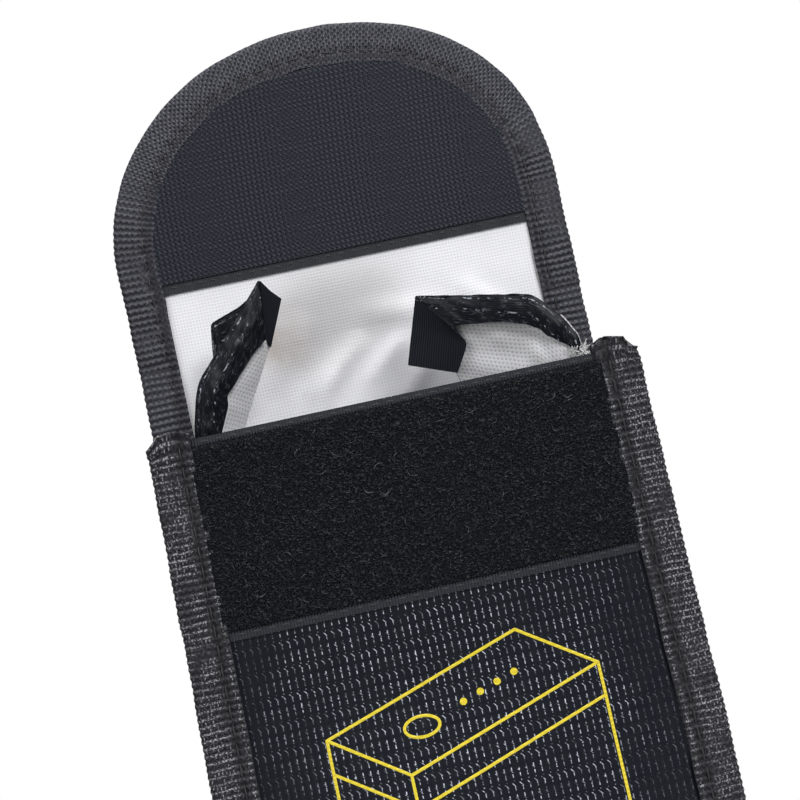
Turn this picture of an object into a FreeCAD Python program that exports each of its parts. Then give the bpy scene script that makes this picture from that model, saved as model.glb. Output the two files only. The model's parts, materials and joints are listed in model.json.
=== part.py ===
import FreeCAD, Part
import math
import os

# A fire-resistant pouch for one drone battery, standing on its bottom edge with its flap up.
# Millimetres, +Z up. The front faces -Y, and the origin is on the ground under the middle.
# Two bound panels are joined by a pleated gusset that runs down one side, along the bottom
# and up the other side. The flap has a soft bridge over the mouth and a stiffer tongue.

# Driving dimensions
PANEL_WIDTH = 90.0            # front and back, over their edge bindings
PANEL_HEIGHT = 150.0          # ground to mouth
CORNER_RADIUS = 12.0          # bottom corners of the two panels
FLAP_HEIGHT = 74.0            # mouth to tip, with the flap up
FLAP_END_RISE = 39.4          # height of the flap's half-elliptical end
TAPE_HEIGHT = 37.0            # hook-and-loop tape, sold as 1.5 inch
BRIDGE_LENGTH = 26.3          # from the flap's fold at the mouth to the fold at the front
PLEAT_WIDTH = 27.0            # half of the gusset, from a seam to its middle crease

# Ears, the hemmed tops of the side pleats: widths from the seam and heights over the mouth
EAR_LOW_RISE = 1.5
EAR_SHOULDER_WIDTH = 5.0
EAR_SHOULDER_RISE = 12.5
EAR_TIP_RISE = 17.6

# Cloth and tape thicknesses
OUTER_CLOTH = 0.6
LINING_CLOTH = 0.4
BINDING_CLOTH = 0.6
BINDING_WIDTH = 7.9
LOOP_PILE = 1.0
HOOK_PILE = 0.8
PRINT_FILM = 0.15

# Folds and clearances
FOLD_RADIUS = 0.5             # rolled edge of the cloth on every fold line
FOLD_GAP = 0.3                # from a rolled edge to the next cloth
FACE_GAP = 0.15               # from a pleat's fold line to its outer face
MITRE_GAP = 0.8               # between the side and bottom pleats
LINING_INSET = 1.3            # from a seam's fold line to the pleat's lining
MOUTH_TO_FOLD = 1.7           # mouth to the flap's lower fold line
BINDING_END_GAP = 1.6         # from the flap's upper fold line to the cut binding ends
CLOSED_GAP = 0.6              # hooks to loops with the flap closed
EAR_SEAM_GAP = 0.6            # from a seam's fold line to the edge of an ear
EAR_CREASE_GAP = 0.8          # from the middle crease to the edge of an ear

# Stitches
STITCH_LENGTH = 2.6
STITCH_PITCH = 3.6
STITCH_WIDTH = 0.45
STITCH_PROUD = 0.2
STITCH_END_GAP = 1.0          # from the end of a row to the edge of its tape
TAPE_STITCH_INSET = 1.2       # from the edge of a closure tape to its row of stitches

# Printed battery mark: a plain block seen from a corner, drawn with lines of one width.
# Its runs are (x, z) steps along the three edges that meet at a corner of the block.
MARK_LINE = 0.55
MARK_FAR_X = 12.0
MARK_BELOW_MOUTH = 46.0
MARK_LONG_RUN = (-36.0, -12.0)
MARK_SHORT_RUN = (13.0, -9.0)
MARK_DROP = (0.0, -30.0)
MARK_LID_SHARE = 0.2
MARK_BUTTON_RADII = (3.4, 2.1)
MARK_BUTTON_SHARE = 0.72      # of the long run, half-way along the short one
CHARGE_LIGHTS = 4
CHARGE_LIGHT_RADIUS = 0.65
CHARGE_LIGHT_SHARE = 0.5      # of the long run, for the first light
CHARGE_LIGHT_STEP = 0.09

# Worked out from the dimensions above
PANEL_CLOTH = OUTER_CLOTH + LINING_CLOTH
HALF_WIDTH = PANEL_WIDTH / 2
STITCH_INSET = BINDING_WIDTH * 2 / 3
SEAM_X = HALF_WIDTH - BINDING_WIDTH
SEAM_Z = BINDING_WIDTH + 0.25
FOLD_Z = PANEL_HEIGHT + MOUTH_TO_FOLD
TONGUE_FOLD_Z = FOLD_Z + BRIDGE_LENGTH
FLAP_SPRING_Z = PANEL_HEIGHT + FLAP_HEIGHT - FLAP_END_RISE

# Depths behind (+) and in front of (-) the middle of the back panel's cloth
HOOK_FACE = -BRIDGE_LENGTH + PANEL_CLOTH / 2 + HOOK_PILE
LOOP_FACE = HOOK_FACE + CLOSED_GAP
FRONT_FACE = LOOP_FACE + LOOP_PILE
FRONT_MIDDLE = FRONT_FACE + PANEL_CLOTH / 2
DEEPEST_FRONT = LOOP_FACE - STITCH_PROUD
DEEPEST_BACK = PANEL_CLOTH / 2 + BINDING_CLOTH + STITCH_PROUD
BACK_Y = -(DEEPEST_FRONT + DEEPEST_BACK) / 2
FRONT_Y = BACK_Y + FRONT_MIDDLE

# The pleat's rest angle from the panels follows from the depth that it has to span
LAYER_SIDE = FACE_GAP + PANEL_CLOTH
SEAM_TO_LINING = LAYER_SIDE + FOLD_GAP
BACK_SEAM_Y = BACK_Y - PANEL_CLOTH / 2 - SEAM_TO_LINING
FRONT_SEAM_Y = FRONT_Y + PANEL_CLOTH / 2 + SEAM_TO_LINING
PLEAT_ANGLE = math.asin((BACK_SEAM_Y - FRONT_SEAM_Y) / 2 / PLEAT_WIDTH)
CREASE_Y = (BACK_SEAM_Y + FRONT_SEAM_Y) / 2
CREASE_X = SEAM_X - PLEAT_WIDTH * math.cos(PLEAT_ANGLE)
CREASE_Z = SEAM_Z + PLEAT_WIDTH * math.cos(PLEAT_ANGLE)

X_AXIS = FreeCAD.Vector(1, 0, 0)
Y_AXIS = FreeCAD.Vector(0, 1, 0)
Z_AXIS = FreeCAD.Vector(0, 0, 1)


def point(x, z):
    """A point in the XZ plane, where the panels are drawn."""
    return FreeCAD.Vector(x, 0, z)


def line(start, end):
    return Part.LineSegment(start, end).toShape()


def pocket_outline(inset, radius):
    """Panel outline with square top corners and round bottom ones, drawn inset from the edge."""
    half = HALF_WIDTH - inset
    bend = radius * (1 - math.sqrt(0.5))
    edges = [
        line(point(-half, PANEL_HEIGHT), point(-half, inset + radius)),
        Part.Arc(point(-half, inset + radius), point(-half + bend, inset + bend),
                 point(-half + radius, inset)).toShape(),
        line(point(-half + radius, inset), point(half - radius, inset)),
        Part.Arc(point(half - radius, inset), point(half - bend, inset + bend),
                 point(half, inset + radius)).toShape(),
        line(point(half, inset + radius), point(half, PANEL_HEIGHT)),
        line(point(half, PANEL_HEIGHT), point(-half, PANEL_HEIGHT)),
    ]
    return Part.Wire(edges)


def arch_outline(inset, bottom):
    """Tongue outline with straight sides and a half-elliptical end, drawn inset from the edge."""
    half = HALF_WIDTH - inset
    rise = FLAP_END_RISE - inset
    ellipse = Part.Ellipse(point(half, FLAP_SPRING_Z), point(0, FLAP_SPRING_Z + rise),
                           point(0, FLAP_SPRING_Z))
    edges = [
        line(point(-half, bottom), point(half, bottom)),
        line(point(half, bottom), point(half, FLAP_SPRING_Z)),
        Part.ArcOfEllipse(ellipse, 0, math.pi).toShape(),
        line(point(-half, FLAP_SPRING_Z), point(-half, bottom)),
    ]
    return Part.Wire(edges)


def slab(outline, low_y, high_y):
    """Extrude an outline of the XZ plane between two depths."""
    face = Part.Face(outline)
    face.translate(Y_AXIS * low_y)
    return face.extrude(Y_AXIS * (high_y - low_y))


def block(x0, x1, y0, y1, z0, z1):
    return Part.makeBox(x1 - x0, y1 - y0, z1 - z0, FreeCAD.Vector(x0, y0, z0))


def fold_roll(middle_y, z):
    """Rolled cloth edge along one of the flap's fold lines."""
    half = HALF_WIDTH - BINDING_CLOTH
    return Part.makeCylinder(FOLD_RADIUS, 2 * half, FreeCAD.Vector(-half, middle_y, z), X_AXIS)


# Panels, bindings and closure tapes

def panel_layers(outline, middle_y, outer_sign):
    """Outer cloth and lining of a flat panel. outer_sign is -1 where the outside faces the front."""
    outer_face = middle_y + outer_sign * PANEL_CLOTH / 2
    meeting = outer_face - outer_sign * OUTER_CLOTH
    lining_face = middle_y - outer_sign * PANEL_CLOTH / 2
    outer = slab(outline, min(outer_face, meeting), max(outer_face, meeting))
    lining = slab(outline, min(lining_face, meeting), max(lining_face, meeting))
    return outer, lining


def folded_binding(outer, window, channel, middle_y):
    """Tape folded over a panel's edge: a channel that the panel's edge lies in."""
    half = PANEL_CLOTH / 2 + BINDING_CLOTH
    tape = slab(outer, middle_y - half, middle_y + half)
    opening = slab(window, middle_y - half, middle_y + half)
    groove = slab(channel, middle_y - PANEL_CLOTH / 2, middle_y + PANEL_CLOTH / 2)
    return tape.cut(opening).cut(groove)


def pocket_binding(middle_y):
    return folded_binding(
        pocket_outline(0, CORNER_RADIUS),
        pocket_outline(BINDING_WIDTH, CORNER_RADIUS - BINDING_WIDTH),
        pocket_outline(BINDING_CLOTH, CORNER_RADIUS - BINDING_CLOTH),
        middle_y)


def bridge_layers():
    """Soft part of the flap over the mouth, with rolled edges on both of its fold lines."""
    half = HALF_WIDTH - BINDING_CLOTH
    outer = block(-half, half, BACK_Y + PANEL_CLOTH / 2 - OUTER_CLOTH, BACK_Y + PANEL_CLOTH / 2,
                  FOLD_Z, TONGUE_FOLD_Z)
    outer = outer.fuse([fold_roll(BACK_Y, FOLD_Z), fold_roll(BACK_Y, TONGUE_FOLD_Z)])
    lining = block(-half, half, BACK_Y - PANEL_CLOTH / 2, BACK_Y - PANEL_CLOTH / 2 + LINING_CLOTH,
                   FOLD_Z + FOLD_RADIUS, TONGUE_FOLD_Z - FOLD_RADIUS)
    return outer, lining


def bridge_binding():
    """The two edges of the bridge, bound with the tape that runs round the whole flap."""
    half = PANEL_CLOTH / 2 + BINDING_CLOTH
    low = FOLD_Z + FOLD_RADIUS
    high = TONGUE_FOLD_Z - BINDING_END_GAP
    tape = block(SEAM_X, HALF_WIDTH, BACK_Y - half, BACK_Y + half, low, high)
    groove = block(0, HALF_WIDTH - BINDING_CLOTH, BACK_Y - PANEL_CLOTH / 2,
                   BACK_Y + PANEL_CLOTH / 2, low, high)
    right = tape.cut(groove)
    left = right.mirror(FreeCAD.Vector(0, 0, 0), X_AXIS)
    return Part.makeCompound(split_solids([right, left]))


def split_solids(shapes):
    """Every separate solid in a list of shapes."""
    return [solid for shape in shapes for solid in shape.Solids]


def tongue_binding():
    bottom = TONGUE_FOLD_Z + BINDING_END_GAP
    return folded_binding(arch_outline(0, bottom), arch_outline(BINDING_WIDTH, bottom),
                          arch_outline(BINDING_CLOTH, bottom), BACK_Y)


def hook_strip():
    """Hook tape on the lining side of the tongue, cut to the inside of the binding's arch."""
    bottom = TONGUE_FOLD_Z + FOLD_RADIUS + FOLD_GAP
    face = BACK_Y - PANEL_CLOTH / 2
    arch = slab(arch_outline(BINDING_WIDTH, bottom), face - HOOK_PILE, face)
    band = block(-HALF_WIDTH, HALF_WIDTH, face - HOOK_PILE, face, bottom, bottom + TAPE_HEIGHT)
    return arch.common(band)


def loop_strip():
    """Loop tape across the top of the front panel, between the bindings."""
    face = FRONT_Y - PANEL_CLOTH / 2
    return block(-SEAM_X, SEAM_X, face - LOOP_PILE, face, PANEL_HEIGHT - TAPE_HEIGHT, PANEL_HEIGHT)


# Pleated gusset

def placed(shape, origin, along_cloth, fold_axis, to_lining):
    """Move a pleat from its own frame (cloth width, fold line, lining side) into the pouch."""
    shape.Placement = FreeCAD.Placement(origin, FreeCAD.Rotation(along_cloth, fold_axis, to_lining))
    return shape


def cloth_layer(corners, near, far):
    """Flat layer of a pleat from its corners, between two distances from the fold lines' plane."""
    face = Part.Face(Part.makePolygon([FreeCAD.Vector(u, v, near) for u, v in corners + corners[:1]]))
    return face.extrude(Z_AXIS * (far - near))


def pleat_roll(u, low, high):
    return Part.makeCylinder(FOLD_RADIUS, high - low, FreeCAD.Vector(u, low, 0), Y_AXIS)


def pleat_half(edge_low, edge_high, starts_at_seam):
    """Outer cloth and lining of half a pleat. The edge functions give its ends at each width."""
    start = 0 if starts_at_seam else FOLD_RADIUS + FOLD_GAP
    lining_start = LINING_INSET if starts_at_seam else start
    lining_end = PLEAT_WIDTH if starts_at_seam else PLEAT_WIDTH - LINING_INSET
    rolls = [pleat_roll(PLEAT_WIDTH, edge_low(PLEAT_WIDTH), edge_high(PLEAT_WIDTH))]
    if starts_at_seam:
        rolls.append(pleat_roll(0, edge_low(0), edge_high(0)))
    outer = cloth_layer(trapezoid(start, PLEAT_WIDTH, edge_low, edge_high),
                        FACE_GAP, FACE_GAP + OUTER_CLOTH)
    lining = cloth_layer(trapezoid(lining_start, lining_end, edge_low, edge_high),
                         FACE_GAP + OUTER_CLOTH, LAYER_SIDE)
    return outer.fuse(rolls), lining


def trapezoid(start, end, edge_low, edge_high):
    return [(start, edge_low(start)), (end, edge_low(end)), (end, edge_high(end)), (start, edge_high(start))]


def rear_frame():
    """Frame of the right rear half: from the back seam inwards to the crease."""
    sine, cosine = math.sin(PLEAT_ANGLE), math.cos(PLEAT_ANGLE)
    return (FreeCAD.Vector(SEAM_X, BACK_SEAM_Y, 0), FreeCAD.Vector(-cosine, -sine, 0), Z_AXIS,
            FreeCAD.Vector(-sine, cosine, 0))


def front_frame():
    """Frame of the right front half: from the crease outwards to the front seam."""
    sine, cosine = math.sin(PLEAT_ANGLE), math.cos(PLEAT_ANGLE)
    return (FreeCAD.Vector(CREASE_X, CREASE_Y, 0), FreeCAD.Vector(cosine, -sine, 0), Z_AXIS,
            FreeCAD.Vector(-sine, -cosine, 0))


def bottom_rear_frame():
    sine, cosine = math.sin(PLEAT_ANGLE), math.cos(PLEAT_ANGLE)
    return (FreeCAD.Vector(0, BACK_SEAM_Y, SEAM_Z), FreeCAD.Vector(0, -sine, cosine), X_AXIS,
            FreeCAD.Vector(0, cosine, sine))


def bottom_front_frame():
    sine, cosine = math.sin(PLEAT_ANGLE), math.cos(PLEAT_ANGLE)
    return (FreeCAD.Vector(0, CREASE_Y, CREASE_Z), FreeCAD.Vector(0, -sine, -cosine), X_AXIS,
            FreeCAD.Vector(0, -cosine, sine))


def from_seam(u):
    """Width from the seam of a half that is drawn from the seam."""
    return u


def from_crease(u):
    """Width from the seam of a half that is drawn from the crease."""
    return PLEAT_WIDTH - u


def side_half(width_from_seam, starts_at_seam):
    """Side pleats are mitred below, so that they fold flat beside the bottom pleat."""
    return pleat_half(lambda u: SEAM_Z + width_from_seam(u) + MITRE_GAP,
                      lambda u: PANEL_HEIGHT, starts_at_seam)


def bottom_half(width_from_seam, starts_at_seam):
    return pleat_half(lambda u: -(SEAM_X - width_from_seam(u) - MITRE_GAP),
                      lambda u: SEAM_X - width_from_seam(u) - MITRE_GAP, starts_at_seam)


def ear(width_from_seam):
    """Hemmed top of the gusset that stands above the mouth and rises towards the crease."""
    crease_edge = PLEAT_WIDTH - EAR_CREASE_GAP
    outline = [(EAR_SEAM_GAP, 0.0), (crease_edge, 0.0), (crease_edge, EAR_TIP_RISE),
               (EAR_SHOULDER_WIDTH, EAR_SHOULDER_RISE), (EAR_SEAM_GAP, EAR_LOW_RISE)]
    corners = [(width_from_seam(u), PANEL_HEIGHT + rise) for u, rise in outline]
    return cloth_layer(corners, FACE_GAP, LAYER_SIDE)


# Stitches and print

def stitch(x, z, angle, low_y, high_y):
    """One stitch, lying flat on a face, turned by an angle from the X axis."""
    half_length, half_width = STITCH_LENGTH / 2, STITCH_WIDTH / 2
    body = block(-half_length, half_length, low_y, high_y, -half_width, half_width)
    body.rotate(FreeCAD.Vector(0, 0, 0), Y_AXIS, -math.degrees(angle))
    body.translate(point(x, z))
    return body


def stitch_line(start, end, low_y, high_y):
    """A row of stitches between two points (x, z)."""
    run_x, run_z = end[0] - start[0], end[1] - start[1]
    length = math.hypot(run_x, run_z)
    angle = math.atan2(run_z, run_x)
    count = int((length - STITCH_LENGTH) / STITCH_PITCH) + 1
    first = (length - (count - 1) * STITCH_PITCH) / 2
    return [stitch(start[0] + run_x * (first + i * STITCH_PITCH) / length,
                   start[1] + run_z * (first + i * STITCH_PITCH) / length,
                   angle, low_y, high_y) for i in range(count)]


def stitch_arch(inset, low_y, high_y):
    """A row of stitches round the elliptical end of the flap, an even distance apart."""
    half, rise = HALF_WIDTH - inset, FLAP_END_RISE - inset
    edge = Part.ArcOfEllipse(Part.Ellipse(point(half, FLAP_SPRING_Z), point(0, FLAP_SPRING_Z + rise),
                                          point(0, FLAP_SPRING_Z)), 0, math.pi).toShape()
    count = int(edge.Length / STITCH_PITCH)
    stitches = []
    for i in range(count):
        parameter = edge.getParameterByLength(edge.Length * (i + 0.5) / count)
        place, tangent = edge.valueAt(parameter), edge.tangentAt(parameter)
        stitches.append(stitch(place.x, place.z, math.atan2(tangent.z, tangent.x), low_y, high_y))
    return stitches


def pocket_stitches(low_y, high_y):
    """Binding stitches down both sides and along the bottom of a panel."""
    x = HALF_WIDTH - STITCH_INSET
    high, low = PANEL_HEIGHT - STITCH_END_GAP, CORNER_RADIUS
    rows = [
        ((-x, high), (-x, low)),
        ((x, high), (x, low)),
        ((-x + low, STITCH_INSET), (x - low, STITCH_INSET)),
    ]
    return Part.makeCompound([s for start, end in rows for s in stitch_line(start, end, low_y, high_y)])


def flap_stitches(low_y, high_y):
    """Binding stitches of the tongue: two straight sides and the round end."""
    x = HALF_WIDTH - STITCH_INSET
    bottom = TONGUE_FOLD_Z + BINDING_END_GAP
    stitches = stitch_arch(STITCH_INSET, low_y, high_y)
    for side in (-x, x):
        stitches += stitch_line((side, bottom), (side, FLAP_SPRING_Z), low_y, high_y)
    return Part.makeCompound(stitches)


def tape_stitches(half, rows, low_y, high_y):
    """Straight rows across a closure tape, at the given heights."""
    return Part.makeCompound([s for z in rows for s in stitch_line((-half, z), (half, z), low_y, high_y)])


def stroke(start, end, low_y, high_y):
    """A printed line between two points (x, z), with round ends."""
    run = point(end[0], end[1]) - point(start[0], start[1])
    bar = block(0, run.Length, low_y, high_y, -MARK_LINE / 2, MARK_LINE / 2)
    bar.rotate(FreeCAD.Vector(0, 0, 0), Y_AXIS, -math.degrees(math.atan2(run.z, run.x)))
    bar.translate(point(start[0], start[1]))
    return bar.fuse([disc(start, MARK_LINE / 2, low_y, high_y), disc(end, MARK_LINE / 2, low_y, high_y)])


def disc(centre, radius, low_y, high_y):
    return Part.makeCylinder(radius, high_y - low_y, FreeCAD.Vector(centre[0], low_y, centre[1]), Y_AXIS)


def oval(centre, radii, low_y, high_y):
    edge = Part.Ellipse(point(centre[0] + radii[0], centre[1]), point(centre[0], centre[1] + radii[1]),
                        point(centre[0], centre[1]))
    return slab(Part.Wire([edge.toShape()]), low_y, high_y)


def step(start, *runs):
    """The (x, z) place reached from a start by adding runs, each given with its share."""
    return (start[0] + sum(run[0] * share for run, share in runs),
            start[1] + sum(run[1] * share for run, share in runs))


def battery_mark():
    """Line drawing of a battery block with a lid line, a button and charge lights on its top."""
    face = FRONT_Y - PANEL_CLOTH / 2
    low_y, high_y = face - PRINT_FILM, face
    far = (MARK_FAR_X, PANEL_HEIGHT - MARK_BELOW_MOUTH)
    left, right = step(far, (MARK_LONG_RUN, 1)), step(far, (MARK_SHORT_RUN, 1))
    near = step(left, (MARK_SHORT_RUN, 1))
    lines = [(far, left), (far, right), (left, near), (right, near)]
    lines += [(corner, step(corner, (MARK_DROP, 1))) for corner in (left, near, right)]
    for share in (MARK_LID_SHARE, 1):
        seam = [step(corner, (MARK_DROP, share)) for corner in (left, near, right)]
        lines += [(seam[0], seam[1]), (seam[1], seam[2])]
    strokes = [stroke(start, end, low_y, high_y) for start, end in lines]
    outline = strokes[0].fuse(strokes[1:])
    button = step(far, (MARK_LONG_RUN, MARK_BUTTON_SHARE), (MARK_SHORT_RUN, 0.5))
    inner = tuple(radius - MARK_LINE for radius in MARK_BUTTON_RADII)
    ring = oval(button, MARK_BUTTON_RADII, low_y, high_y).cut(oval(button, inner, low_y, high_y))
    light_shares = [CHARGE_LIGHT_SHARE - CHARGE_LIGHT_STEP * i for i in range(CHARGE_LIGHTS)]
    light_centres = [step(far, (MARK_LONG_RUN, share), (MARK_SHORT_RUN, 0.5)) for share in light_shares]
    lights = [disc(centre, CHARGE_LIGHT_RADIUS, low_y, high_y) for centre in light_centres]
    return Part.makeCompound(split_solids([outline, ring] + lights))


# Assembly

def back_nodes():
    outer, lining = panel_layers(pocket_outline(BINDING_CLOTH, CORNER_RADIUS - BINDING_CLOTH), BACK_Y, 1)
    face = BACK_Y + PANEL_CLOTH / 2 + BINDING_CLOTH
    return {"back_panel": outer, "back_lining": lining, "back_binding": pocket_binding(BACK_Y),
            "back_binding_thread": pocket_stitches(face, face + STITCH_PROUD)}


def front_nodes():
    outer, lining = panel_layers(pocket_outline(BINDING_CLOTH, CORNER_RADIUS - BINDING_CLOTH), FRONT_Y, -1)
    binding_face = FRONT_Y - PANEL_CLOTH / 2 - BINDING_CLOTH
    loop_face = FRONT_Y - PANEL_CLOTH / 2 - LOOP_PILE
    rows = [PANEL_HEIGHT - TAPE_STITCH_INSET, PANEL_HEIGHT - TAPE_HEIGHT + TAPE_STITCH_INSET]
    return {"front_panel": outer, "front_lining": lining, "front_binding": pocket_binding(FRONT_Y),
            "front_binding_thread": pocket_stitches(binding_face - STITCH_PROUD, binding_face),
            "loop_strip": loop_strip(),
            "loop_strip_thread": tape_stitches(SEAM_X, rows, loop_face - STITCH_PROUD, loop_face),
            "battery_mark": battery_mark()}


def flap_nodes():
    bridge_outer, bridge_lining = bridge_layers()
    bottom = TONGUE_FOLD_Z + FOLD_RADIUS + FOLD_GAP
    tongue_outer, tongue_lining = panel_layers(arch_outline(BINDING_CLOTH, bottom), BACK_Y, 1)
    binding_face = BACK_Y - PANEL_CLOTH / 2 - BINDING_CLOTH
    hook_face = BACK_Y - PANEL_CLOTH / 2 - HOOK_PILE
    return {"bridge_panel": bridge_outer, "bridge_lining": bridge_lining,
            "bridge_binding": bridge_binding(),
            "tongue_panel": tongue_outer, "tongue_lining": tongue_lining,
            "tongue_binding": tongue_binding(),
            "tongue_binding_thread": flap_stitches(binding_face - STITCH_PROUD, binding_face),
            "hook_strip": hook_strip(),
            "hook_strip_thread": tape_stitches(SEAM_X - STITCH_END_GAP, [bottom + TAPE_STITCH_INSET],
                                               hook_face - STITCH_PROUD, hook_face)}


def gusset_nodes():
    """Right halves, their mirror images on the left, and the two halves of the bottom pleat."""
    nodes = {}
    for half, frame, width_from_seam, starts_at_seam in (
            ("rear", rear_frame, from_seam, True), ("front", front_frame, from_crease, False)):
        outer, lining = side_half(width_from_seam, starts_at_seam)
        layers = {"panel": outer, "lining": lining, "ear": ear(width_from_seam)}
        for layer, shape in layers.items():
            right = placed(shape, *frame())
            nodes["gusset_right_%s_%s" % (half, layer)] = right
            nodes["gusset_left_%s_%s" % (half, layer)] = right.mirror(FreeCAD.Vector(0, 0, 0), X_AXIS)
    for half, frame, width_from_seam, starts_at_seam in (
            ("rear", bottom_rear_frame, from_seam, True),
            ("front", bottom_front_frame, from_crease, False)):
        outer, lining = bottom_half(width_from_seam, starts_at_seam)
        nodes["gusset_bottom_%s_panel" % half] = placed(outer, *frame())
        nodes["gusset_bottom_%s_lining" % half] = placed(lining, *frame())
    return nodes


os.makedirs("parts", exist_ok=True)
for group in (back_nodes, front_nodes, flap_nodes, gusset_nodes):
    for node, shape in group().items():
        shape.exportStep("parts/%s.step" % node)
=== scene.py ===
import json
import math

import bpy
import numpy as np
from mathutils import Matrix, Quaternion, Vector


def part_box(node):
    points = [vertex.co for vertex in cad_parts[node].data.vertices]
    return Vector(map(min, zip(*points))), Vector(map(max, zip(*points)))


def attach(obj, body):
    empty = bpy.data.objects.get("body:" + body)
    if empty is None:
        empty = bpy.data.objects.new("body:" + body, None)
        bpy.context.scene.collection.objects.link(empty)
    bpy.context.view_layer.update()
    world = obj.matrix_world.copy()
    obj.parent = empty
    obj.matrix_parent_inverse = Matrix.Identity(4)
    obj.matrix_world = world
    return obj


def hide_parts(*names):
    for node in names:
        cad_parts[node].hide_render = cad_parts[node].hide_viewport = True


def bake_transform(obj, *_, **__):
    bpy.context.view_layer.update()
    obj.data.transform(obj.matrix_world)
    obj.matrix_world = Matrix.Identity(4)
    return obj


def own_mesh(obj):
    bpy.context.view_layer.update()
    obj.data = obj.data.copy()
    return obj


# The looks of the fire-resistant battery pouch. Lengths are in millimetres here, and every mesh
# is turned into metres where it is built. "Panel coordinates" are (x, z) on a flat panel and a
# depth out of its middle, and the place functions press them onto the soft shape of the pouch.

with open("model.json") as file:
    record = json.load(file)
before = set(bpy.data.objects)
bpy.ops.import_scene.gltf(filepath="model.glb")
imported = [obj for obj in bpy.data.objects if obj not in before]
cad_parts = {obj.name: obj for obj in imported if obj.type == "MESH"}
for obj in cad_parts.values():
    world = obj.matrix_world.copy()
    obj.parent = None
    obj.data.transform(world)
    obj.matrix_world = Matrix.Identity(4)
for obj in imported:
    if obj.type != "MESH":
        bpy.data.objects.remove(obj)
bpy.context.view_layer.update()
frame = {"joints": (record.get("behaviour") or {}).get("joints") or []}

METRES = 0.001
PANEL_CLOTH = 1.0             # outer cloth and lining together
OUTER_CLOTH = 0.6
LINING_CLOTH = PANEL_CLOTH - OUTER_CLOTH
TAPE_CLOTH = 0.6
GROUND_CORNER = 12.0          # bottom corners of the panels
FLAP_END_RISE = 39.4          # height of the flap's round end
FLAP_FULLNESS = 2.1           # 2 is an ellipse, and more is squarer
FLAP_TIP_PROUD = 0.9          # height of the end over the plain one
PLEAT_WIDTH = 27.0            # cloth from a seam to the middle crease
PANEL_STEP = 1.2              # size of a panel's mesh faces
FORWARD, BACKWARD = (0, -1, 0), (0, 1, 0)


def node_box(name):
    low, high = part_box(name)
    return np.array(low) / METRES, np.array(high) / METRES


def joint_place(name):
    return next(np.array(j["pos_m"]) / METRES for j in frame["joints"] if j["name"] == name)


# Places read from the frame
MOUTH = node_box("front_panel")[1][2]
HALF_WIDTH = node_box("back_binding")[1][0]
SEAM_X = node_box("loop_strip")[1][0]
TAPE_WIDTH = HALF_WIDTH - SEAM_X
BACK_Y = sum(corner[1] for corner in node_box("back_binding")) / 2
FRONT_Y = sum(corner[1] for corner in node_box("front_binding")) / 2
FOLD_Z = joint_place("flap_fold")[2]
TONGUE_FOLD_Z = joint_place("tongue_fold")[2]
SPLIT_Z = (FOLD_Z + TONGUE_FOLD_Z) / 2
FLAP_TIP_Z = node_box("tongue_binding")[1][2]
FLAP_SPRING_Z = FLAP_TIP_Z - FLAP_END_RISE
HOOK_LOW_Z = node_box("hook_strip")[0][2]
LOOP_LOW_Z = node_box("loop_strip")[0][2]
BACK_SEAM_Y = joint_place("pleat_right_rear")[1]
FRONT_SEAM_Y = joint_place("pleat_right_front")[1]
CREASE_Y = joint_place("pleat_right_crease")[1]
SEAM_Z = joint_place("pleat_bottom_rear")[2]

# Soft shape
FRONT_BELLY = 5.0
BACK_BELLY = 3.0
BELLY_TOP = 107.0             # the closed flap lies flat above this
BELLY_MIDDLE = 55.0
FLARE = 0.028                 # share that the body widens by below its mouth
FLARE_RUN = 61.0
FRONT_STRETCH = 1.012         # the front is pushed a little wider, and to the right
FRONT_SHIFT = 0.55
FLAP_LEAN = -1.3              # sideways, below the round end of the flap
FLAP_NARROWING = 0.02
FLAP_BOW = 0.9                # depth of the flap's gentle backward curve
CREASE_ROUND = 0.04           # share of a pleat that its middle crease is rounded over
RIGHT_SPREAD, LEFT_SPREAD = 4.5, 11.0     # outward, of the middle creases at the mouth

# Repeats of the outer cloth: knitted columns, rows of slanted strokes, and ticks between them
CLOTH_COLUMN, CLOTH_ROW, CLOTH_TICK = 1.32, 4.76, 1.19

# Edge binding: ribs across the tape, broken by the threads along it
RIB_PITCH = 1.3
THREAD_PITCH = 1.15
TIE_PITCH = 0.66
RIB_HEIGHT = 0.22
EDGING_HALF = PANEL_CLOTH / 2 + TAPE_CLOTH
TAPE_ROUND = 18.1             # width of the tape, measured round its fold
STITCH_INSET = TAPE_WIDTH * 0.72
STITCH_PITCH, STITCH_LENGTH = 3.6, 2.7
PULL_DEPTH, PULL_WAVE, PULL_WIDTH = 0.3, 0.12, 0.7    # groove that the stitches pull
THREAD_RADIUS = 0.13
END_LENGTH = 3.2              # crumpled stretch at a cut end
END_SWELL = 0.45
RIGHT_END = ((0, -0.5), (2.0, 0.2), (2.4, 1.8), (6.1, 2.6), (7.9, 1.5))    # (inset, rise)
LEFT_END = ((0, -0.4), (1.0, 0.3), (2.2, 2.0), (5.0, 2.0), (7.9, 1.1))

# Closure tapes, which reach a little under the binding
TAPE_HALF = SEAM_X + 0.6
SELVAGE_RIB, SELVAGE_THICK = 0.03, 0.34
TAPE_STITCH_PITCH, TAPE_STITCH_LENGTH = 2.6, 2.0
LOOP_COUNT, LOOP_RADIUS = 9500, 0.035
STRAY_COUNT, STRAY_RADIUS = 110, 0.03
HOOK_COLUMN_PITCH, HOOK_ROW_PITCH = 0.95, 0.8
HOOK_RADII = 0.11, 0.1, 0.1, 0.1, 0.09, 0.07          # from its root to its tip
LOOP_STEP, HOOK_STEP = 0.5, 0.7                       # size of the mesh faces of the tapes' grounds

SHARP_EDGE = math.radians(50)

pieces = {}                   # every mesh object that has been built, by name


# Small helpers

def ease(t):
    t = np.clip(t, 0, 1)
    return t * t * (3 - 2 * t)


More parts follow.
